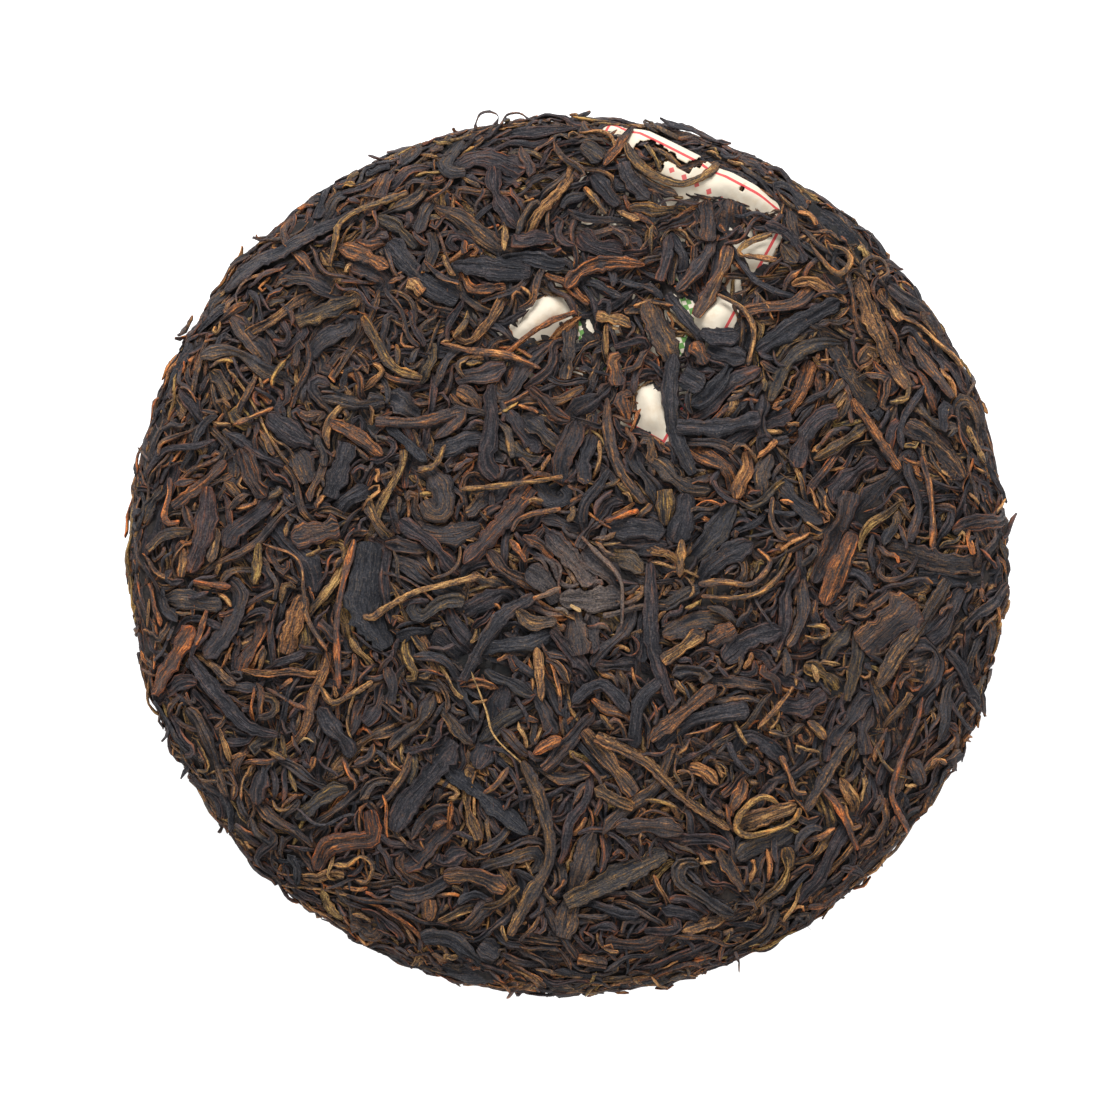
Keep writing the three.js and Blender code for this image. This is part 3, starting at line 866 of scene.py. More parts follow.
    def lay_proud(self, landmark: Landmark) -> None:
        """Lays a leaf that stands out past the rim, seen from above."""
        plan = smooth_route(from_photo(landmark.route), landmark.kind.ring_gap * 0.6)
        reach = np.hypot(*plan.T)
        edge = self.bed.chart.section.radius - 0.8
        flat = self.bed.chart.from_plan(plan * np.minimum(1, edge / reach)[:, None])
        half, thick = self.measures(landmark.kind, len(plan), landmark.half)
        level = np.maximum(reach - edge, 0) - 0.4
        look = landmark.tone, landmark.warmth
        seed = int(self.rng.integers(1 << 30))
        leaf = Leaf(landmark.kind, self.bed.chart, flat, half, thick, level, *look, seed)
        self.leaves.append(leaf)

    def scatter(self, rounds: tuple[Round, ...], region: np.ndarray) -> None:
        """Lays rounds of leaves that start from the bare cells of a region."""
        for each in rounds:
            places = self.bed.bare_places(region)
            for number in range(each.count):
                if number % LAID_BETWEEN_LOOKS == LAID_BETWEEN_LOOKS - 1:
                    places = self.bed.bare_places(region)
                if len(places) < FEWEST_PLACES:
                    break
                share, *leaf = self.best_place(each, places)
                if share >= each.bare:
                    self.settle(each.kind, *leaf)

    def best_place(self, each: Round, places: np.ndarray) -> tuple:
        """Draws a leaf at some bare places, and returns the one that covers the most bare bed.

        Args:
            each: The round that the leaf belongs to.
            places: The bare places.

        Returns:
            The leaf's bare share, its spine, its half width and its thickness.
        """
        best = (-2.0,)
        for _ in range(each.tries):
            place = places[self.rng.integers(len(places))]
            spine = self.spine(each.kind, place, self.rng.uniform(*each.kind.length))
            half, thick = self.measures(each.kind, len(spine))
            share = self.bed.bare_share(spine, half) + self.rng.uniform(0, 0.12)
            if share > best[0]:
                best = (share, spine, half, thick)
        return best

    def stray(self, kinds: tuple[LeafKind, ...], count: int) -> None:
        """Adds leaves round the rim that are held at one end and stand out at the other.

        Args:
            kinds: The kinds that they are drawn from.
            count: How many to add.
        """
        for _ in range(count):
            kind = kinds[self.rng.integers(len(kinds))]
            angle = self.rng.uniform(0, FULL_TURN)
            place = np.array([math.cos(angle), math.sin(angle)]) * (self.bed.reach - self.rng.uniform(3, 16))
            spine = self.spine(kind, np.zeros(2), self.rng.uniform(4, 11))
            spine -= spine[0]
            lean = self.rng.choice([-1, 1]) * self.rng.normal(1.25, 0.35)
            turn = angle + lean - math.atan2(spine[-1, 1], spine[-1, 0])
            cos, sin = math.cos(turn), math.sin(turn)
            spine = spine @ np.array([[cos, sin], [-sin, cos]]) + place
            half, thick = self.measures(kind, len(spine))
            t = np.linspace(0, 1, len(spine))
            top = self.bed.plate[self.bed.index(spine)] - 1.0 + self.rng.uniform(1.0, 2.8) * t**1.5
            look = self.rng.uniform(*kind.tone), self.rng.uniform(*kind.warmth)
            seed = int(self.rng.integers(1 << 30))
            self.leaves.append(Leaf(kind, self.bed.chart, spine, half * 0.8, thick, top, *look, seed))


@dataclass
class LeafShape:
    """The section of a leaf at each point of its spine, corner by corner."""

    across: np.ndarray
    above: np.ndarray
    crest: np.ndarray
    edge: np.ndarray


def rolled_shape(leaf: Leaf, t: np.ndarray, rng: np.random.Generator) -> LeafShape:
    """The section of a rolled leaf, with the folds of the roll winding along it."""
    around = leaf.kind.around
    angle = np.linspace(0, FULL_TURN, around, endpoint=False) + math.pi / around
    twist = rng.normal(0, 5.5) * t[:, None] + rng.uniform(0, FULL_TURN)
    fold = np.cos(rng.integers(2, 4) * angle[None, :] + twist)
    radius = 1 - rng.uniform(*leaf.kind.ridge) * 0.6 * (0.5 - 0.5 * fold)
    across = -np.cos(angle)[None, :] * radius
    above = 0.5 + 0.5 * np.sin(angle)[None, :] * radius
    # The crest is low in the folds, where the material paints shade.
    crest = 0.5 + 0.5 * fold
    return LeafShape(across, above, crest, crest**2)


def strip_shape(leaf: Leaf, t: np.ndarray, rng: np.random.Generator) -> LeafShape:
    """The section of a flattened leaf, with creases running along it and rounded edges."""
    share = np.linspace(-1, 1, leaf.kind.around - 3)
    run = np.ones_like(t)[:, None]
    side = (np.sign(share) * np.abs(share) ** 0.8)[None, :] * run
    reach = np.abs(side)
    creases = np.zeros_like(side)
    for pace, strength in ((1.1, 0.5), (2.1, 0.7), (3.2, 0.45)):
        drift = rng.uniform(0, FULL_TURN) + rng.normal(0, 1.6) * t[:, None]
        creases += strength * np.cos(pace * math.pi * side + drift)
    crest = np.clip(0.5 + 0.5 * creases, 0, 1)
    cup = rng.uniform(-0.25, 0.55)
    above = (1 - 0.62 * reach**5) * (1 - cup * (1 - reach**2))
    above -= rng.uniform(*leaf.kind.ridge) * (1 - crest) * (1 - reach**4)
    above += min(cup, 0) * 0.6
    # The feet under the leaf have no crest, so its material darkens them with painted shade.
    foot = np.array([0.72, 0.0, -0.72])[None, :] * run
    none = np.zeros_like(foot)
    edge = smoothstep(0.62, 0.95, reach)
    return LeafShape(
        np.concatenate([side, foot], 1),
        np.concatenate([above, none], 1),
        np.concatenate([crest, none], 1),
        np.concatenate([edge, none], 1),
    )


SHAPES = {Build.ROLLED: rolled_shape, Build.STRIP: strip_shape}

# How far under the pressed surface a leaf's painted shade is at its darkest.
SHADE_FULL_BELOW = 2.8

# What a leaf's mesh tells its material at each corner, among it how much painted shade a corner gets for
# lying deep.
LOOKS = ("tone", "crest", "warm", "deep", "hue")


@dataclass
class LeafArrays:
    """What a joined mesh of leaves is made from: each leaf a closed tube of rings."""

    corners: list = field(default_factory=list)
    quads: list = field(default_factory=list)
    fans: list = field(default_factory=list)
    quad_maps: list = field(default_factory=list)
    fan_maps: list = field(default_factory=list)
    quad_fibres: list = field(default_factory=list)
    fan_fibres: list = field(default_factory=list)
    looks: dict = field(default_factory=lambda: {label: [] for label in LOOKS})
    count: int = 0

    def add(self, leaf: Leaf, cell: tuple[float, float, float, float]) -> None:
        """Adds one leaf.

        Args:
            leaf: The leaf.
            cell: Its own place in the map of baked colours: left, bottom, width and height.
        """
        rng = np.random.default_rng(leaf.seed)
        rings, around = len(leaf.spine), leaf.kind.around
        t = np.linspace(0, 1, rings)
        shape = SHAPES[leaf.kind.build](leaf, t, rng)
        level = self.add_corners(leaf, t, shape, rng)
        self.add_faces(rings, around)
        self.add_maps(leaf, cell, rng)
        ends = np.abs(2 * t - 1)[:, None] ** 8
        # How orange each corner is: the leaf's own colour at its edges and ends, and a painted highlight on
        # its crests.
        warm = leaf.warmth * np.clip(0.12 + 0.2 * shape.crest + 0.6 * shape.edge + 0.5 * ends, 0, 1.2)
        tone = leaf.tone + 0.04 * np.sin(rng.uniform(2, 7) * t + rng.uniform(0, FULL_TURN))[:, None]
        tone = tone + shape.across * rng.normal(0, 0.06)
        # Painted shade: the deeper a corner lies under the pressed surface, the darker its colour is
        # painted.
        deep = np.clip(-level / SHADE_FULL_BELOW, 0, 1)
        looks = dict(zip(LOOKS, (tone, shape.crest, warm, deep, np.array(rng.random()))))
        for label, values in looks.items():
            values = np.broadcast_to(values, (rings, around))
            tips = [values[0].mean(), values[-1].mean()]
            self.looks[label].append(np.concatenate([values.ravel(), tips]))
        self.count += rings * around + 2

    def add_corners(
        self, leaf: Leaf, t: np.ndarray, shape: LeafShape, rng: np.random.Generator
    ) -> np.ndarray:
        """Adds the corners of a leaf's rings and its two tips.

        Args:
            leaf: The leaf.
            t: How far along the leaf each ring is, from 0 to 1.
            shape: The leaf's section.
            rng: The source of random draws.

        Returns:
            The level of each corner of the rings.
        """
        lean = 0.16 if leaf.kind.build is Build.STRIP else 0.0
        roll = rng.normal(0, lean) + lean * np.sin(rng.uniform(2, 6) * t + rng.uniform(0, FULL_TURN))
        ragged = 1 + 0.1 * np.sin(rng.uniform(6, 22, 2) * t[:, None] + rng.uniform(0, FULL_TURN, 2))
        ragged *= rng.normal(1, 0.06, ragged.shape)
        sideways = shape.across * leaf.half[:, None]
        sideways *= np.where(shape.across < 0, ragged[:, :1], ragged[:, 1:])
        level = leaf.top[:, None] - leaf.thick[:, None] * (1 - shape.above)
        level += rng.normal(0, 0.06, level.shape)
        level += np.tan(roll)[:, None] * sideways - np.abs(np.tan(roll) * leaf.half)[:, None]
        flat = leaf.spine[:, None, :] + across_of(leaf.spine)[:, None, :] * sideways[:, :, None]
        body = leaf.chart.place(flat, level)
        self.corners.append(body.reshape(-1, 3))
        for ring, before in ((0, 1), (-1, -2)):
            tip = leaf.spine[ring] + (leaf.spine[ring] - leaf.spine[before]) * 0.25
            self.corners.append(leaf.chart.place(tip, level[ring].mean())[None, :])
        return level

    def add_faces(self, rings: int, around: int) -> None:
        """Adds the faces between a leaf's rings and round its tips."""
        i, j = np.meshgrid(np.arange(rings - 1), np.arange(around), indexing="ij")
        after = (j + 1) % around
        ring, following = i * around, (i + 1) * around
        quads = np.stack([ring + j, following + j, following + after, ring + after], -1)
        self.quads.append(quads.reshape(-1, 4) + self.count)
        j = np.arange(around)
        after = (j + 1) % around
        first, last, base = rings * around, rings * around + 1, (rings - 1) * around
        near = np.stack([np.full(around, first), j, after], -1)
        far = np.stack([np.full(around, last), base + after, base + j], -1)
        self.fans.append(np.vstack([near, far]) + self.count)

    def add_maps(self, leaf: Leaf, cell: tuple, rng: np.random.Generator) -> None:
        """Adds a leaf's maps: one for baked colours, and one in millimetres for its fibres."""
        rings, around = len(leaf.spine), leaf.kind.around
        i, j = np.meshgrid(np.arange(rings - 1), np.arange(around), indexing="ij")
        u = np.stack([j, j, j + 1, j + 1], -1) / around
        v = (np.stack([i, i + 1, i + 1, i], -1) + 1) / (rings + 1)
        quad = np.stack([u, v], -1).reshape(-1, 2)
        j = np.arange(around)
        low, one = np.zeros(around), np.ones(around)
        high, top = one * rings, one * (rings + 1)
        near = self.fan_map((j + 0.5, j, j + 1), (low, one, one), rings, around)
        far = self.fan_map((j + 0.5, j + 1, j), (top, high, high), rings, around)
        fan = np.vstack([near.reshape(-1, 2), far.reshape(-1, 2)])
        corner, size = np.array(cell[:2]), np.array(cell[2:])
        self.quad_maps.append(corner + quad * size)
        self.fan_maps.append(corner + fan * size)
        scale = np.array([4.4 * leaf.half.mean(), run_length(leaf.spine)[-1]])
        shift = rng.uniform(0, 400, 2)
        self.quad_fibres.append(quad * scale + shift)
        self.fan_fibres.append(fan * scale + shift)

    @staticmethod
    def fan_map(sides: tuple, rows: tuple, rings: int, around: int) -> np.ndarray:
        """The corners of the triangles at one tip, on a map from 0 to 1."""
        return np.stack([np.stack(sides, -1) / around, np.stack(rows, -1) / (rings + 1)], -1)


def joined_leaves(name: str, leaves: list[Leaf]) -> bpy.types.Object:
    """Makes one piece of many leaves.

    Args:
        name: The piece's name.
        leaves: The leaves.

    Returns:
        The piece.
    """
    arrays = LeafArrays()
    columns = max(1, int(math.sqrt(len(leaves) * 2.2)))
    rows = math.ceil(len(leaves) / columns)
    width, height = 1 / columns, 1 / rows
    for number, leaf in enumerate(leaves):
        column, row = number % columns, number // columns
        arrays.add(leaf, ((column + 0.06) * width, (row + 0.03) * height, 0.88 * width, 0.94 * height))
    corners = np.vstack(arrays.corners) * MM
    quads, fans = np.vstack(arrays.quads), np.vstack(arrays.fans)
    mesh = bpy.data.meshes.new(name)
    mesh.vertices.add(len(corners))
    mesh.vertices.foreach_set("co", corners.ravel())
    loops = np.concatenate([quads.ravel(), fans.ravel()])
    starts = np.concatenate([np.arange(len(quads)) * 4, quads.size + np.arange(len(fans)) * 3])
    mesh.loops.add(len(loops))
    mesh.loops.foreach_set("vertex_index", loops)
    mesh.polygons.add(len(starts))
    mesh.polygons.foreach_set("loop_start", starts)
    mesh.polygons.foreach_set("use_smooth", np.ones(len(starts), bool))
    mesh.update(calc_edges=True)
    for label, values in arrays.looks.items():
        attribute = mesh.attributes.new(label, "FLOAT", "POINT")
        attribute.data.foreach_set("value", np.concatenate(values).astype(np.float32))
    maps = {
        "OFBake": arrays.quad_maps + arrays.fan_maps,
        "Fibre": arrays.quad_fibres + arrays.fan_fibres,
    }
    for label, values in maps.items():
        layer = mesh.uv_layers.new(name=label)
        layer.data.foreach_set("uv", np.vstack(values).astype(np.float32).ravel())
    return added(name, mesh)


class Wire:
    """A value in a material, on which Python's operators add Math nodes."""

    def __init__(self, bench: "Bench", socket: bpy.types.NodeSocket) -> None:
        """Wraps an output socket."""
        self.bench = bench
        self.socket = socket

    def math(self, operation: str, first: "Wire | float", second: "Wire | float" = 0.0) -> "Wire":
        """Adds a Math node.

        Args:
            operation: The node's operation.
            first: Its first value.
            second: Its second value.

        Returns:
            The node's result.
        """
        return self.bench.node("ShaderNodeMath", {"operation": operation}, {0: first, 1: second})

    def __add__(self, other: "Wire | float") -> "Wire":
        """This value plus another."""
        return self.math("ADD", self, other)

    def __sub__(self, other: "Wire | float") -> "Wire":
        """This value less another."""
        return self.math("SUBTRACT", self, other)

    def __rsub__(self, other: float) -> "Wire":
        """A number less this value."""
        return self.math("SUBTRACT", other, self)

    def __mul__(self, other: "Wire | float") -> "Wire":
        """This value times another."""
        return self.math("MULTIPLY", self, other)

    def __gt__(self, other: "Wire | float") -> "Wire":
        """1 where this value is the greater."""
        return self.math("GREATER_THAN", self, other)

    def __lt__(self, other: "Wire | float") -> "Wire":
        """1 where this value is the smaller."""
        return self.math("LESS_THAN", self, other)

    __radd__ = __add__
    __rmul__ = __mul__

    def abs(self) -> "Wire":
        """This value without its sign."""
        return self.math("ABSOLUTE", self)

    def root(self) -> "Wire":
        """This value's square root."""
        return self.math("SQRT", self)

    def to_and_fro(self, limit: float) -> "Wire":
        """This value folded so that it goes from 0 to a limit and back."""
        return self.math("PINGPONG", self, limit)

    def clamped(self) -> "Wire":
        """This value held between 0 and 1."""
        return self.bench.node("ShaderNodeClamp", {}, {"Value": self})


class Bench:
    """Makes the nodes of one material."""

    def __init__(self, name: str) -> None:
        """Starts an empty material."""
        self.material = bpy.data.materials.new(name)
        self.material.use_nodes = True
        self.tree = self.material.node_tree
        self.tree.nodes.clear()

    def node(self, kind: str, settings: dict, sockets: dict, output: int | str = 0) -> Wire | None:
        """Adds a node.

        Args:
            kind: The node's type.
            settings: Its settings, and under "stops" a colour ramp's places and colours.
            sockets: A value or a wire for each of its inputs, by name, identifier or number.
            output: Which of its outputs to return, by name, identifier or number.

        Returns:
            The chosen output, or None where the node has none.
        """
        made = self.tree.nodes.new(kind)
        for key, value in settings.items():
            if key == "stops":
                ramp = made.color_ramp
                while len(ramp.elements) < len(value):
                    ramp.elements.new(0.5)
                for element, (place, colour) in zip(ramp.elements, value):
                    element.position = place
                    element.color = colour
            else:
                setattr(made, key, value)
        for key, value in sockets.items():
            socket = self.find(made.inputs, key)
            if isinstance(value, Wire):
                self.tree.links.new(value.socket, socket)
            else:
                socket.default_value = value
        if not made.outputs:
            return None
        return Wire(self, self.find(made.outputs, output))

    @staticmethod
    def find(sockets: bpy.types.bpy_prop_collection, key: int | str) -> bpy.types.NodeSocket:
        """The socket with a number, an identifier or a name."""
        if isinstance(key, int):
            return sockets[key]
        for socket in sockets:
            if socket.identifier == key:
                return socket
        return sockets[key]

    def mix(
        self, share: Wire | float, first: Wire | tuple, second: Wire | tuple, blend: str = "MIX"
    ) -> Wire:
        """Mixes two colours."""
        sockets = {"Factor_Float": share, "A_Color": first, "B_Color": second}
        settings = {"data_type": "RGBA", "blend_type": blend}
        return self.node("ShaderNodeMix", settings, sockets, "Result_Color")

    def place(self) -> Wire:
        """Where each point of the surface is, in metres."""
        return self.node("ShaderNodeTexCoord", {}, {}, "Object")

    def mapped(self, name: str) -> Wire:
        """Where each point of the surface is on a map of the mesh."""
        return self.node("ShaderNodeUVMap", {"uv_map": name}, {})

    def axes(self, place: Wire, names: str) -> list[Wire]:
        """The numbers of a place along some of its axes."""
        return [self.node("ShaderNodeSeparateXYZ", {}, {"Vector": place}, name) for name in names]

    def attribute(self, name: str) -> Wire:
        """The value that a mesh's attribute holds."""
        return self.node("ShaderNodeAttribute", {"attribute_name": name}, {}, "Fac")

    def noise(self, place: Wire, scale: float, detail: float = 3.0, roughness: float = 0.55) -> Wire:
        """A noise between 0 and 1."""
        sockets = {"Vector": place, "Scale": scale, "Detail": detail, "Roughness": roughness}
        return self.node("ShaderNodeTexNoise", {}, sockets)

    def ramp(self, value: Wire, stops: list[tuple[float, tuple]]) -> Wire:
        """A colour ramp."""
        return self.node("ShaderNodeValToRGB", {"stops": stops}, {"Fac": value})

    def stretched(self, place: Wire, scale: tuple[float, float, float]) -> Wire:
        """A place scaled by a number in each direction."""
        return self.node("ShaderNodeVectorMath", {"operation": "MULTIPLY"}, {0: place, 1: scale})

    def finish(self, sockets: dict, bump: tuple[Wire, float, float]) -> bpy.types.Material:
        """Ends the material in a Principled shader.

        Args:
            sockets: The shader's values and wires.
            bump: The height of the surface, the bump's strength and its distance in metres.

        Returns:
            The material.
        """
        height, strength, distance = bump
        relief = {"Height": height, "Strength": strength, "Distance": distance}
        sockets["Normal"] = self.node("ShaderNodeBump", {}, relief)
        shader = self.node("ShaderNodeBsdfPrincipled", {}, sockets)
        self.node("ShaderNodeOutputMaterial", {}, {"Surface": shader})
        return self.material


def srgb(red: float, green: float, blue: float) -> tuple[float, float, float, float]:
    """A colour from the 0 to 255 values of a screen."""
    linear = [((c / 255 + 0.055) / 1.055) ** 2.4 if c > 10 else c / 255 / 12.92 for c in (red, green, blue)]
    return (*linear, 1.0)


@dataclass(frozen=True)
class LeafFinish:
    """The look of dry fermented leaves: dark cool faces, brown bodies and orange-brown edges, with painted
    shade in creases, pits, valleys and deep places and painted highlights on ridges.
    """

    name: str
    gloss: float = 0.42
    soot: tuple = srgb(48, 49, 56)
    charcoal: tuple = srgb(78, 80, 88)
    black_brown: tuple = srgb(88, 81, 81)
    dark_brown: tuple = srgb(118, 97, 80)
    brown: tuple = srgb(187, 134, 81)
    tan: tuple = srgb(255, 205, 132)
    orange: tuple = srgb(255, 138, 56)
    # The near-black of the painted shade in creases, pits, valleys and under other leaves.
    painted_shade: tuple = srgb(27, 29, 37)
    dust: tuple = srgb(182, 157, 136)
    rust: tuple = (1.14, 0.78, 0.58, 1.0)
    olive: tuple = (0.9, 1.02, 0.78, 1.0)
    rubbed_middle: tuple[float, float] = (0.0045, -0.008)
    rubbed_pace: float = 70.0
    rubbed_share: float = 0.85
    rubbed_above: float = 0.02
    relief: float = 0.0009

    def material(self) -> bpy.types.Material:
        """Builds the leaves' material."""
        bench = Bench(self.name)
        fibre, place = bench.mapped("Fibre"), bench.place()
        tone, crest, warm, deep, hue = (bench.attribute(label) for label in LOOKS)
        ridges = bench.noise(bench.stretched(fibre, (1.6, 0.2, 1.0)), 1.0, 2.0, 0.5)
        fine = bench.noise(bench.stretched(fibre, (3.2, 0.5, 1.0)), 1.0, 3.0, 0.6)
        blots = bench.noise(place, 320.0, 3.0, 0.6)
        specks = bench.noise(place, 2100.0, 4.0, 0.75)
        # line picks out the tops of the fibre ridges, which get a painted highlight; crease picks out the
        # grooves between them, which get painted shade.
        line = ((ridges - 0.5) * 7.0).clamped()
        crease = ((0.46 - ridges) * 8.0).clamped()
        # The place on the ramp: the leaf's tone with grain and blots, and a painted highlight on its ridges.
        shade = tone + 0.07 + (line - 0.35) * (0.2 + 0.34 * warm) + (fine - 0.5) * 1.3
        shade = shade + (blots - 0.5) * 0.4 + (specks - 0.5) * 0.9
        stops = [
            (0.0, self.soot),
            (0.13, self.charcoal),
            (0.36, self.black_brown),
            (0.56, self.dark_brown),
            (0.76, self.brown),
            (1.0, self.tan),
        ]
        body = bench.ramp(shade.clamped(), stops)
        # Orange on the leaf's edges and ends is its own colour; on its lit ridges it is a painted highlight.
        orange_and_highlight = (warm * (0.2 + 0.9 * line) * (blots * 2.6 - 0.6)).clamped()
        body = bench.mix(orange_and_highlight, body, self.orange)
        lean = (shade * 1.9 - 0.35).clamped()
        body = bench.mix(((0.38 - hue) * 3.0).clamped() * lean, body, self.rust, "MULTIPLY")
        body = bench.mix(((hue - 0.62) * 2.8).clamped() * lean, body, self.olive, "MULTIPLY")
        body = bench.mix(((specks - 0.55) * 2.6).clamped(), body, self.dust)
        rubbed = self.rubbed(bench, place)
        # Painted shade: creases, pits in the grain, the low parts of each section and leaves lying deep are
        # darkened towards the painted shade colour, the ridges a little less, and the rubbed middle gets
        # less of it.
        pits = ((0.48 - specks) * 3.0).clamped()
        dark = crease * 0.6 + deep * 0.45 + (1 - crest) * 0.2 - line * 0.1 + pits * 1.4
        body = bench.mix((dark * (1 - rubbed * 0.7)).clamped(), body, self.painted_shade)
        grain = ((specks - 0.36) * 3.2).clamped()
        body = bench.mix(rubbed * grain * (1 - deep), body, self.dust)
        height = ridges * 0.8 + line * 0.45 + fine * 0.7 + specks * 0.7
        rough = self.gloss + 0.34 * blots + 0.12 * (1 - crest)
        sockets = {"Base Color": body, "Roughness": rough, "Specular IOR Level": 0.42}
        return bench.finish(sockets, (height, 1.0, self.relief))

    def rubbed(self, bench: Bench, place: Wire) -> Wire:
        """How dusty the leaves are: only in the middle of the face, where the block rubbed them."""
        x, y, z = bench.axes(place, "XYZ")
        across = (x - self.rubbed_middle[0]) * self.rubbed_pace
        up = (y - self.rubbed_middle[1]) * self.rubbed_pace
        near = (1 - (across * across + up * up)).clamped()
        return near * self.rubbed_share * (z > self.rubbed_above)


@dataclass(frozen=True)
class CoreShadeFinish:
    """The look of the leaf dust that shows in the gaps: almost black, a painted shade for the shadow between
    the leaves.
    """

    name: str = "packed_core_shade"
    # Almost black: painted shade for the gaps between the leaves; worn is the lighter grain of the leaf
    # dust.
    deep: tuple = srgb(15, 15, 17)
    worn: tuple = srgb(58, 47, 41)

    def material(self) -> bpy.types.Material:
        """Builds the core's material."""
        bench = Bench(self.name)
        place = bench.place()
        grain = bench.noise(place, 1000.0, 4.0, 0.7)
        patches = bench.noise(place, 160.0, 3.0, 0.5)
        colour = bench.mix((grain * patches * 5.0 - 1.0).clamped(), self.deep, self.worn)
        return bench.finish({"Base Color": colour, "Roughness": 0.8}, (grain + patches, 0.8, 0.0006))


@dataclass(frozen=True)
class PaperFinish:
    """The look of the ticket: thin cream paper, tea-stained, with a red line inside its edge."""

    width: float
    height: float
    name: str = "ticket_paper_finish"
    cream: tuple = srgb(222, 210, 190)
    stained: tuple = srgb(196, 170, 134)
    red: tuple = srgb(206, 44, 54)
    green: tuple = srgb(70, 138, 40)
    line_inset: float = 1.7
    line_half: float = 0.33
    marks_inset: float = 6.4
    ring_middle: tuple[float, float] = (4.0, -8.6)
    ring_radius: float = 12.2
    ring_half: float = 1.1

    def material(self) -> bpy.types.Material:
        """Builds the paper's material, drawn on its own map in millimetres from its middle."""
        bench = Bench(self.name)
        x, y = bench.axes(bench.mapped("Sheet"), "XY")
        place = bench.place()
        stains = bench.noise(place, 240.0, 4.0, 0.6)
        fibres = bench.noise(place, 2600.0, 2.0, 0.5)
        torn = bench.attribute("torn")
        side, end = self.width / 2 - self.line_inset, self.height / 2 - self.line_inset
        by_side = (x.abs() - side).abs() < self.line_half
        by_end = (y.abs() - end).abs() < self.line_half
        within = (x.abs() < side + self.line_half) * (y.abs() < end + self.line_half)
        line = ((by_side + by_end) * within).clamped()
        paper = bench.mix(((stains - 0.54) * 2.6 + torn * 0.7).clamped(), self.cream, self.stained)
        paper = bench.mix(self.marks(x, y), paper, self.red)
        paper = bench.mix(line * 0.92, paper, self.red)
        paper = bench.mix(self.ring(x, y) * 0.9, paper, self.green)
        sockets = {"Base Color": paper, "Roughness": 0.75}
        return bench.finish(sockets, (stains + fibres * 0.3, 0.25, 0.0004))

    def ring(self, x: Wire, y: Wire) -> Wire:
        """A ring of small green lozenges on the lower half of the ticket."""
        across, up = x - self.ring_middle[0], y - self.ring_middle[1]
        far = (across * across + up * up).root()
        band = (far - self.ring_radius).abs() < self.ring_half
        lozenges = (x + 40.0).to_and_fro(0.8) + (y + 60.0).to_and_fro(0.8)
        return band * (lozenges < 0.9)

    def marks(self, x: Wire, y: Wire) -> Wire:
        """A row of plain red lozenges inside the top line."""
        below = (y - (self.height / 2 - self.marks_inset)).abs()
        return (((x + 40.0).to_and_fro(1.6) + below) < 0.75) * 0.85


@dataclass
class PressedCore:
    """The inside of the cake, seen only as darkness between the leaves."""

    section: CakeSection
    inset: float = 3.6
    rim_rise: float = 1.5
    rim_fade: float = 13.0
    spacing: float = 2.4
    turns: int = 200
    roughness: float = 0.45

    def build(self, rng: np.random.Generator) -> bpy.types.Object:
        """Spins the inset section round the axis and roughens it.

        Args:
            rng: The source of random draws.

        Returns:
            The piece.
        """
        along = np.linspace(0, self.section.length, int(self.section.length / self.spacing))
        points, normals = self.section.at(along)
        edge = (along - self.section.equator) / self.rim_fade
        inset = self.inset - self.rim_rise * np.exp(-(edge**2))
        radius = np.maximum(points[:, 0] - normals[:, 0] * inset, 0)
        height = points[:, 1] - normals[:, 1] * inset
        radius[[0, -1]] = 0
        core = bmesh.new()
        row = [core.verts.new(Vector((r, 0, z)) * MM) for r, z in zip(radius, height)]
        edges = [core.edges.new(pair) for pair in zip(row, row[1:])]
        bmesh.ops.spin(
            core, geom=row + edges, cent=(0, 0, 0), axis=(0, 0, 1), dvec=(0, 0, 0),
            angle=FULL_TURN, steps=self.turns, use_merge=True,
        )
        bmesh.ops.remove_doubles(core, verts=core.verts, dist=0.00001)
        bmesh.ops.recalc_face_normals(core, faces=core.faces)
        core.normal_update()
        moves = rng.normal(0, self.roughness * MM, len(core.verts))
        for vert, move in zip(core.verts, moves):
            vert.co += vert.normal * move
        for face in core.faces:
            face.smooth = True
        return shaped("packed_core", core, CoreShadeFinish().material())


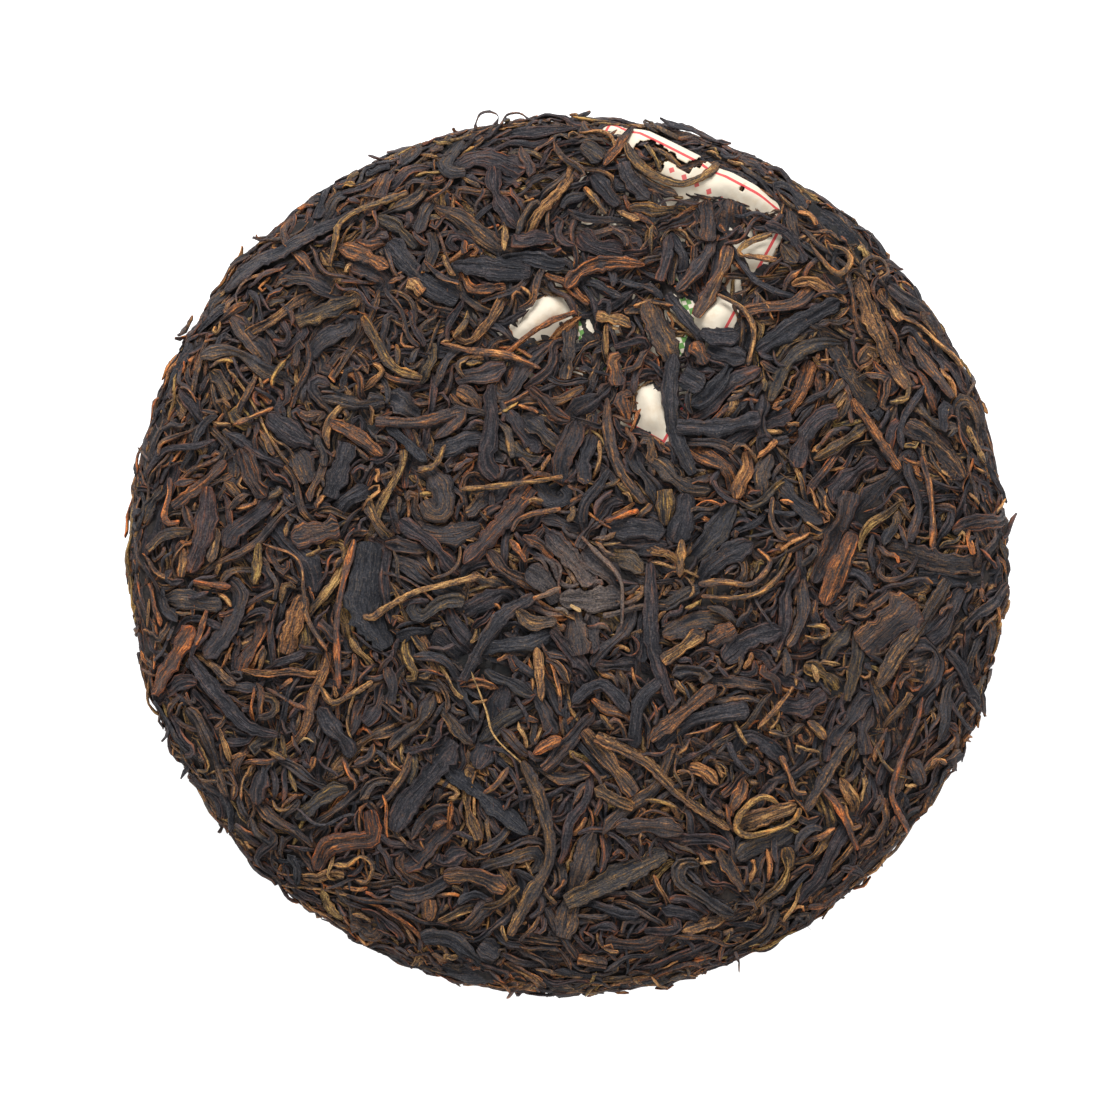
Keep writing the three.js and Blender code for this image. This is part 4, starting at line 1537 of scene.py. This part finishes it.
@dataclass
class PaperTicket:
    """The square of thin paper that is pressed in under the leaves of the face."""

    bed: LeafBed
    width: float = 49.0
    height: float = 63.0
    middle: tuple[float, float] = (15.57, 61.32)
    turn: float = math.radians(-28.6)
    cell: float = 0.48
    thickness: float = 0.12
    shallowest: float = -0.9

    def __post_init__(self) -> None:
        """Finds the places where the paper shows and where it is torn."""
        chart = self.bed.chart
        self.windows = [chart.from_plan(from_photo(window)) for window in TICKET_WINDOWS]
        self.tears = [chart.from_plan(from_photo(tear)) for tear in TORN_PLACES]

    def to_bed(self, sheet: np.ndarray) -> np.ndarray:
        """Puts points of the sheet on the map of the face."""
        cos, sin = math.cos(self.turn), math.sin(self.turn)
        x, y = sheet[..., 0], sheet[..., 1]
        plan = np.stack([x * cos - y * sin, x * sin + y * cos], -1) + self.middle
        return self.bed.chart.from_plan(plan)

    def covers(self, flat: np.ndarray, margin: float = 0.0) -> np.ndarray:
        """Which points of the map the sheet covers."""
        plan = self.bed.chart.place(flat, np.zeros(flat.shape[:-1]))[..., :2]
        x, y = np.moveaxis(plan - self.middle, -1, 0)
        cos, sin = math.cos(self.turn), math.sin(self.turn)
        across = np.abs(x * cos + y * sin) < self.width / 2 + margin
        along = np.abs(y * cos - x * sin) < self.height / 2 + margin
        upper = np.hypot(flat[..., 0], flat[..., 1]) < self.bed.chart.section.equator
        return across & along & upper

    def keep_windows_open(self) -> None:
        """Keeps the leaves that are laid before the ticket off the places where it shows."""
        self.bed.shut = spread(inside_any(self.windows, self.bed.cells), 1)

    def depth(self) -> np.ndarray:
        """The level of the paper over the bed: under every leaf that lies on it, and smooth."""
        level = self.bed.room.copy()
        for axis in (0, 1):
            for _ in range(3):
                level = np.minimum(level, np.minimum(np.roll(level, 1, axis), np.roll(level, -1, axis)))
        for _ in range(8):
            for axis in (0, 1):
                level = (np.roll(level, 2, axis) + 2 * level + np.roll(level, -2, axis)) / 4
        return np.minimum(level - 0.05, self.shallowest)

    def build(self, rng: np.random.Generator) -> bpy.types.Object:
        """Makes the sheet, tears it and gives it its thickness.

        Args:
            rng: The source of random draws.

        Returns:
            The piece.
        """
        level = self.depth()
        fray = Waves(rng, 2.2, 20)
        columns, rows = int(self.width / self.cell), int(self.height / self.cell)
        sheet = bmesh.new()
        bmesh.ops.create_grid(sheet, x_segments=columns, y_segments=rows, size=0.5)
        plan = np.array([vert.co[:2] for vert in sheet.verts]) * (self.width, self.height)
        flat = self.to_bed(plan)
        over_rim = np.hypot(flat[:, 0], flat[:, 1]) > self.bed.chart.section.equator - 4
        frayed = flat + np.stack([fray(flat), fray(flat[..., ::-1])], -1) * 0.45
        open_place = inside_any(self.windows, frayed)
        torn = inside_any(self.tears, frayed)
        covered = ~self.bed.bare[self.bed.index(flat)]
        filled = self.without_pinholes()[self.bed.index(flat)]
        kept = (open_place | covered | filled) & ~torn & ~over_rim
        depth = level[self.bed.index(flat)]
        corners = self.bed.chart.place(flat, depth) * MM
        mark = sheet.verts.layers.float.new("torn")
        for vert, corner, in_hole in zip(sheet.verts, corners, ~kept):
            vert.co = corner
            vert[mark] = float(in_hole)
        sheet.verts.index_update()
        map_layer = sheet.loops.layers.uv.new("Sheet")
        for face in sheet.faces:
            for loop in face.loops:
                loop[map_layer].uv = plan[loop.vert.index]
        kept |= self.ringed(sheet, kept) & ~over_rim
        gone = [face for face in sheet.faces if not all(kept[vert.index] for vert in face.verts)]
        bmesh.ops.delete(sheet, geom=gone, context="FACES")
        smooth = {"factor": 0.5, "use_axis_x": True, "use_axis_y": True, "use_axis_z": True}
        bmesh.ops.smooth_vert(sheet, verts=sheet.verts, **smooth)
        bmesh.ops.recalc_face_normals(sheet, faces=sheet.faces)
        bmesh.ops.solidify(sheet, geom=sheet.faces, thickness=self.thickness * MM)
        for face in sheet.faces:
            face.smooth = True
        self.take_room(level)
        return shaped("torn_ticket", sheet, PaperFinish(self.width, self.height).material())

    def without_pinholes(self) -> np.ndarray:
        """The cells near the windows where the sheet goes on under small gaps between leaves."""
        opened = inside_any(self.windows, self.bed.cells)
        present = spread(opened | ~self.bed.bare, 5)
        present = ~spread(~present, 5)
        return present & spread(opened, 7)

    def ringed(self, sheet: bmesh.types.BMesh, kept: np.ndarray) -> np.ndarray:
        """Which points of the sheet are next to a kept one."""
        found = np.zeros_like(kept)
        for edge in sheet.edges:
            first, second = (vert.index for vert in edge.verts)
            found[first] |= kept[second]
            found[second] |= kept[first]
        return found

    def take_room(self, level: np.ndarray) -> None:
        """Takes the sheet's room off the bed, and opens its windows' cells again."""
        bed = self.bed
        under = self.covers(bed.cells) & ~inside_any(self.tears, bed.cells)
        shows = bed.shut & under
        present = under & (shows | ~bed.bare)
        bed.room[present] = np.minimum(bed.room[present], level[present] - self.thickness - 0.1)
        bed.highest[present] = bed.plate[present]
        bed.bare &= ~shows
        bed.shut[:] = False


@dataclass
class PressedCake:
    """The whole cake: its core, its leaves and its ticket."""

    section: CakeSection = field(default_factory=CakeSection)
    middle_reach: float = 34.0
    ticket_margin: float = 1.5
    uneven_from: float = 45.0
    uneven_to: float = 102.0

    def face_plate(self, rng: np.random.Generator) -> Callable[[np.ndarray], np.ndarray]:
        """How high leaves may lie on the face: even in the middle, uneven towards the rim."""
        slow, quick = Waves(rng, 32.0), Waves(rng, 10.0)

        def plate(flat: np.ndarray) -> np.ndarray:
            """The plate's level at points of the face's map."""
            away = smoothstep(self.uneven_from, self.uneven_to, np.hypot(flat[..., 0], flat[..., 1]))
            return (0.1 + 0.5 * away) * slow(flat) + (0.08 + 0.5 * away) * quick(flat) - 0.15

        return plate

    def base_plate(self, rng: np.random.Generator) -> Callable[[np.ndarray], np.ndarray]:
        """How high leaves may lie on the base: flat on the ring, uneven round the rim."""
        slow = Waves(rng, 14.0)
        rim = self.section.length - self.section.equator

        def plate(flat: np.ndarray) -> np.ndarray:
            """The plate's level at points of the base's map."""
            reach = np.hypot(flat[..., 0], flat[..., 1])
            away = smoothstep(rim - 22, rim - 4, reach)
            return 0.35 * away * slow(flat) - 0.7 * smoothstep(rim - 3, rim + 4, reach)

        return plate

    def lay_face(self, rng: np.random.Generator) -> tuple[LeafLayer, bpy.types.Object]:
        """Lays the leaves of the face and the ticket between them."""
        chart = Chart(self.section, Side.FACE)
        bed = LeafBed(chart, self.section.equator + RIM_OVERLAP, self.face_plate(rng))
        ticket = PaperTicket(bed)
        layer = LeafLayer(bed, rng)
        for landmark in LANDMARKS:
            layer.lay_landmark(landmark)
        for landmark in PROUD_OF_RIM:
            layer.lay_proud(landmark)
        ticket.keep_windows_open()
        everywhere = bed.from_middle < bed.reach
        over_ticket = ticket.covers(bed.cells, self.ticket_margin)
        layer.scatter(MIDDLE_ROUNDS, bed.from_middle < self.middle_reach)
        layer.scatter(FIRST_ROUNDS, everywhere)
        layer.scatter(TICKET_ROUNDS, over_ticket)
        piece = ticket.build(rng)
        layer.scatter(LAST_ROUNDS, everywhere)
        layer.stray(STRAY_KINDS, STRAY_COUNT)
        return layer, piece

    def lay_base(self, rng: np.random.Generator) -> LeafLayer:
        """Lays the leaves of the underside."""
        chart = Chart(self.section, Side.BASE)
        reach = self.section.length - self.section.equator + RIM_OVERLAP
        bed = LeafBed(chart, reach, self.base_plate(rng))
        layer = LeafLayer(bed, rng)
        layer.scatter(BASE_ROUNDS, bed.from_middle < bed.reach)
        return layer

    def build(self) -> None:
        """Builds every piece of the cake and ties it to the frame."""
        rng = np.random.default_rng(SEED)
        core = PressedCore(self.section).build(rng)
        face, ticket = self.lay_face(rng)
        base = self.lay_base(rng)
        uncovered = face.bed.bare.sum() / (face.bed.from_middle < face.bed.reach).sum()
        LOG.info("%d leaves on the face, %.1f %% of it bare", len(face.leaves), 100 * uncovered)
        heaps: dict[str, list[Leaf]] = {}
        for leaf in face.leaves + base.leaves:
            heaps.setdefault(leaf.kind.piece, []).append(leaf)
        finish = LeafFinish("dry_tea_leaf").material()
        pieces = [core]
        for name, leaves in heaps.items():
            piece = joined_leaves(name, leaves)
            piece.data.materials.append(finish)
            pieces.append(piece)
        for piece in pieces:
            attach(piece, "root")
            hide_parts("tea_cake")
        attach(ticket, "root")
        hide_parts("paper_ticket")
        for piece in [*pieces, ticket]:
            triangles = sum(len(face.vertices) - 2 for face in piece.data.polygons)
            LOG.info("%s: %d triangles", piece.name, triangles)


@dataclass
class Studio:
    """The pale floor, the soft lights and the camera over the cake."""

    distance: float = 690.0
    lens: float = 100.0
    elevation: float = math.radians(87.5)
    aim_height: float = 9.5
    key_watts: float = 12.1
    fill_watts: float = 1.95
    surroundings: float = 0.5
    floor_glow: float = 0.85
    floor_radius: float = 3.0

    def build(self) -> None:
        """Makes the floor, the lights, the surroundings and the camera."""
        self.floor()
        self.light("key_light", (-150, 800, 620), 620, self.key_watts)
        self.light("fill_light", (420, -420, 700), 700, self.fill_watts)
        world = bpy.data.worlds.new("studio")
        bpy.context.scene.world = world
        world.use_nodes = True
        backdrop = world.node_tree.nodes["Background"]
        backdrop.inputs["Color"].default_value = (1.0, 1.0, 1.0, 1.0)
        backdrop.inputs["Strength"].default_value = self.surroundings
        bpy.context.scene.view_settings.view_transform = "Standard"
        self.camera()

    def floor(self) -> None:
        """Makes the floor that the cake lies on."""
        ground = bmesh.new()
        bmesh.ops.create_circle(ground, cap_ends=True, segments=96, radius=self.floor_radius)
        bench = Bench("pale_floor")
        grain = bench.noise(bench.place(), 60.0)
        sockets = {
            "Base Color": (0.6, 0.6, 0.6, 1.0),
            "Roughness": 0.9,
            "Emission Color": (1.0, 1.0, 1.0, 1.0),
            "Emission Strength": self.floor_glow,
        }
        shaped("floor", ground, bench.finish(sockets, (grain, 0.02, 0.0002)))

    def light(self, name: str, place: tuple[float, float, float], size: float, watts: float) -> None:
        """Adds a square soft light that faces the cake."""
        lamp = bpy.data.lights.new(name, "AREA")
        lamp.size = size * MM
        lamp.energy = watts
        piece = added(name, lamp)
        piece.location = Vector(place) * MM
        piece.rotation_euler = (-piece.location).to_track_quat("-Z", "Y").to_euler()

    def camera(self) -> None:
        """Looks down on the cake so that it falls in the frame where it does in the photograph."""
        lens = bpy.data.cameras.new("camera")
        lens.lens = self.lens
        piece = added("camera", lens)
        aim_x, aim_y = from_photo((PHOTO_SIDE / 2, PHOTO_SIDE / 2))
        aim = Vector((aim_x, aim_y, self.aim_height))
        back = Vector((0, -math.cos(self.elevation), math.sin(self.elevation)))
        piece.location = (aim + back * self.distance) * MM
        piece.rotation_euler = (-back).to_track_quat("-Z", "Y").to_euler()
        bpy.context.scene.camera = piece


def main() -> None:
    """Builds the cake and the studio."""
    logging.basicConfig(level=logging.INFO, format="%(name)s: %(message)s")
    PressedCake().build()
    Studio().build()


if __name__ == "__main__":
    main()
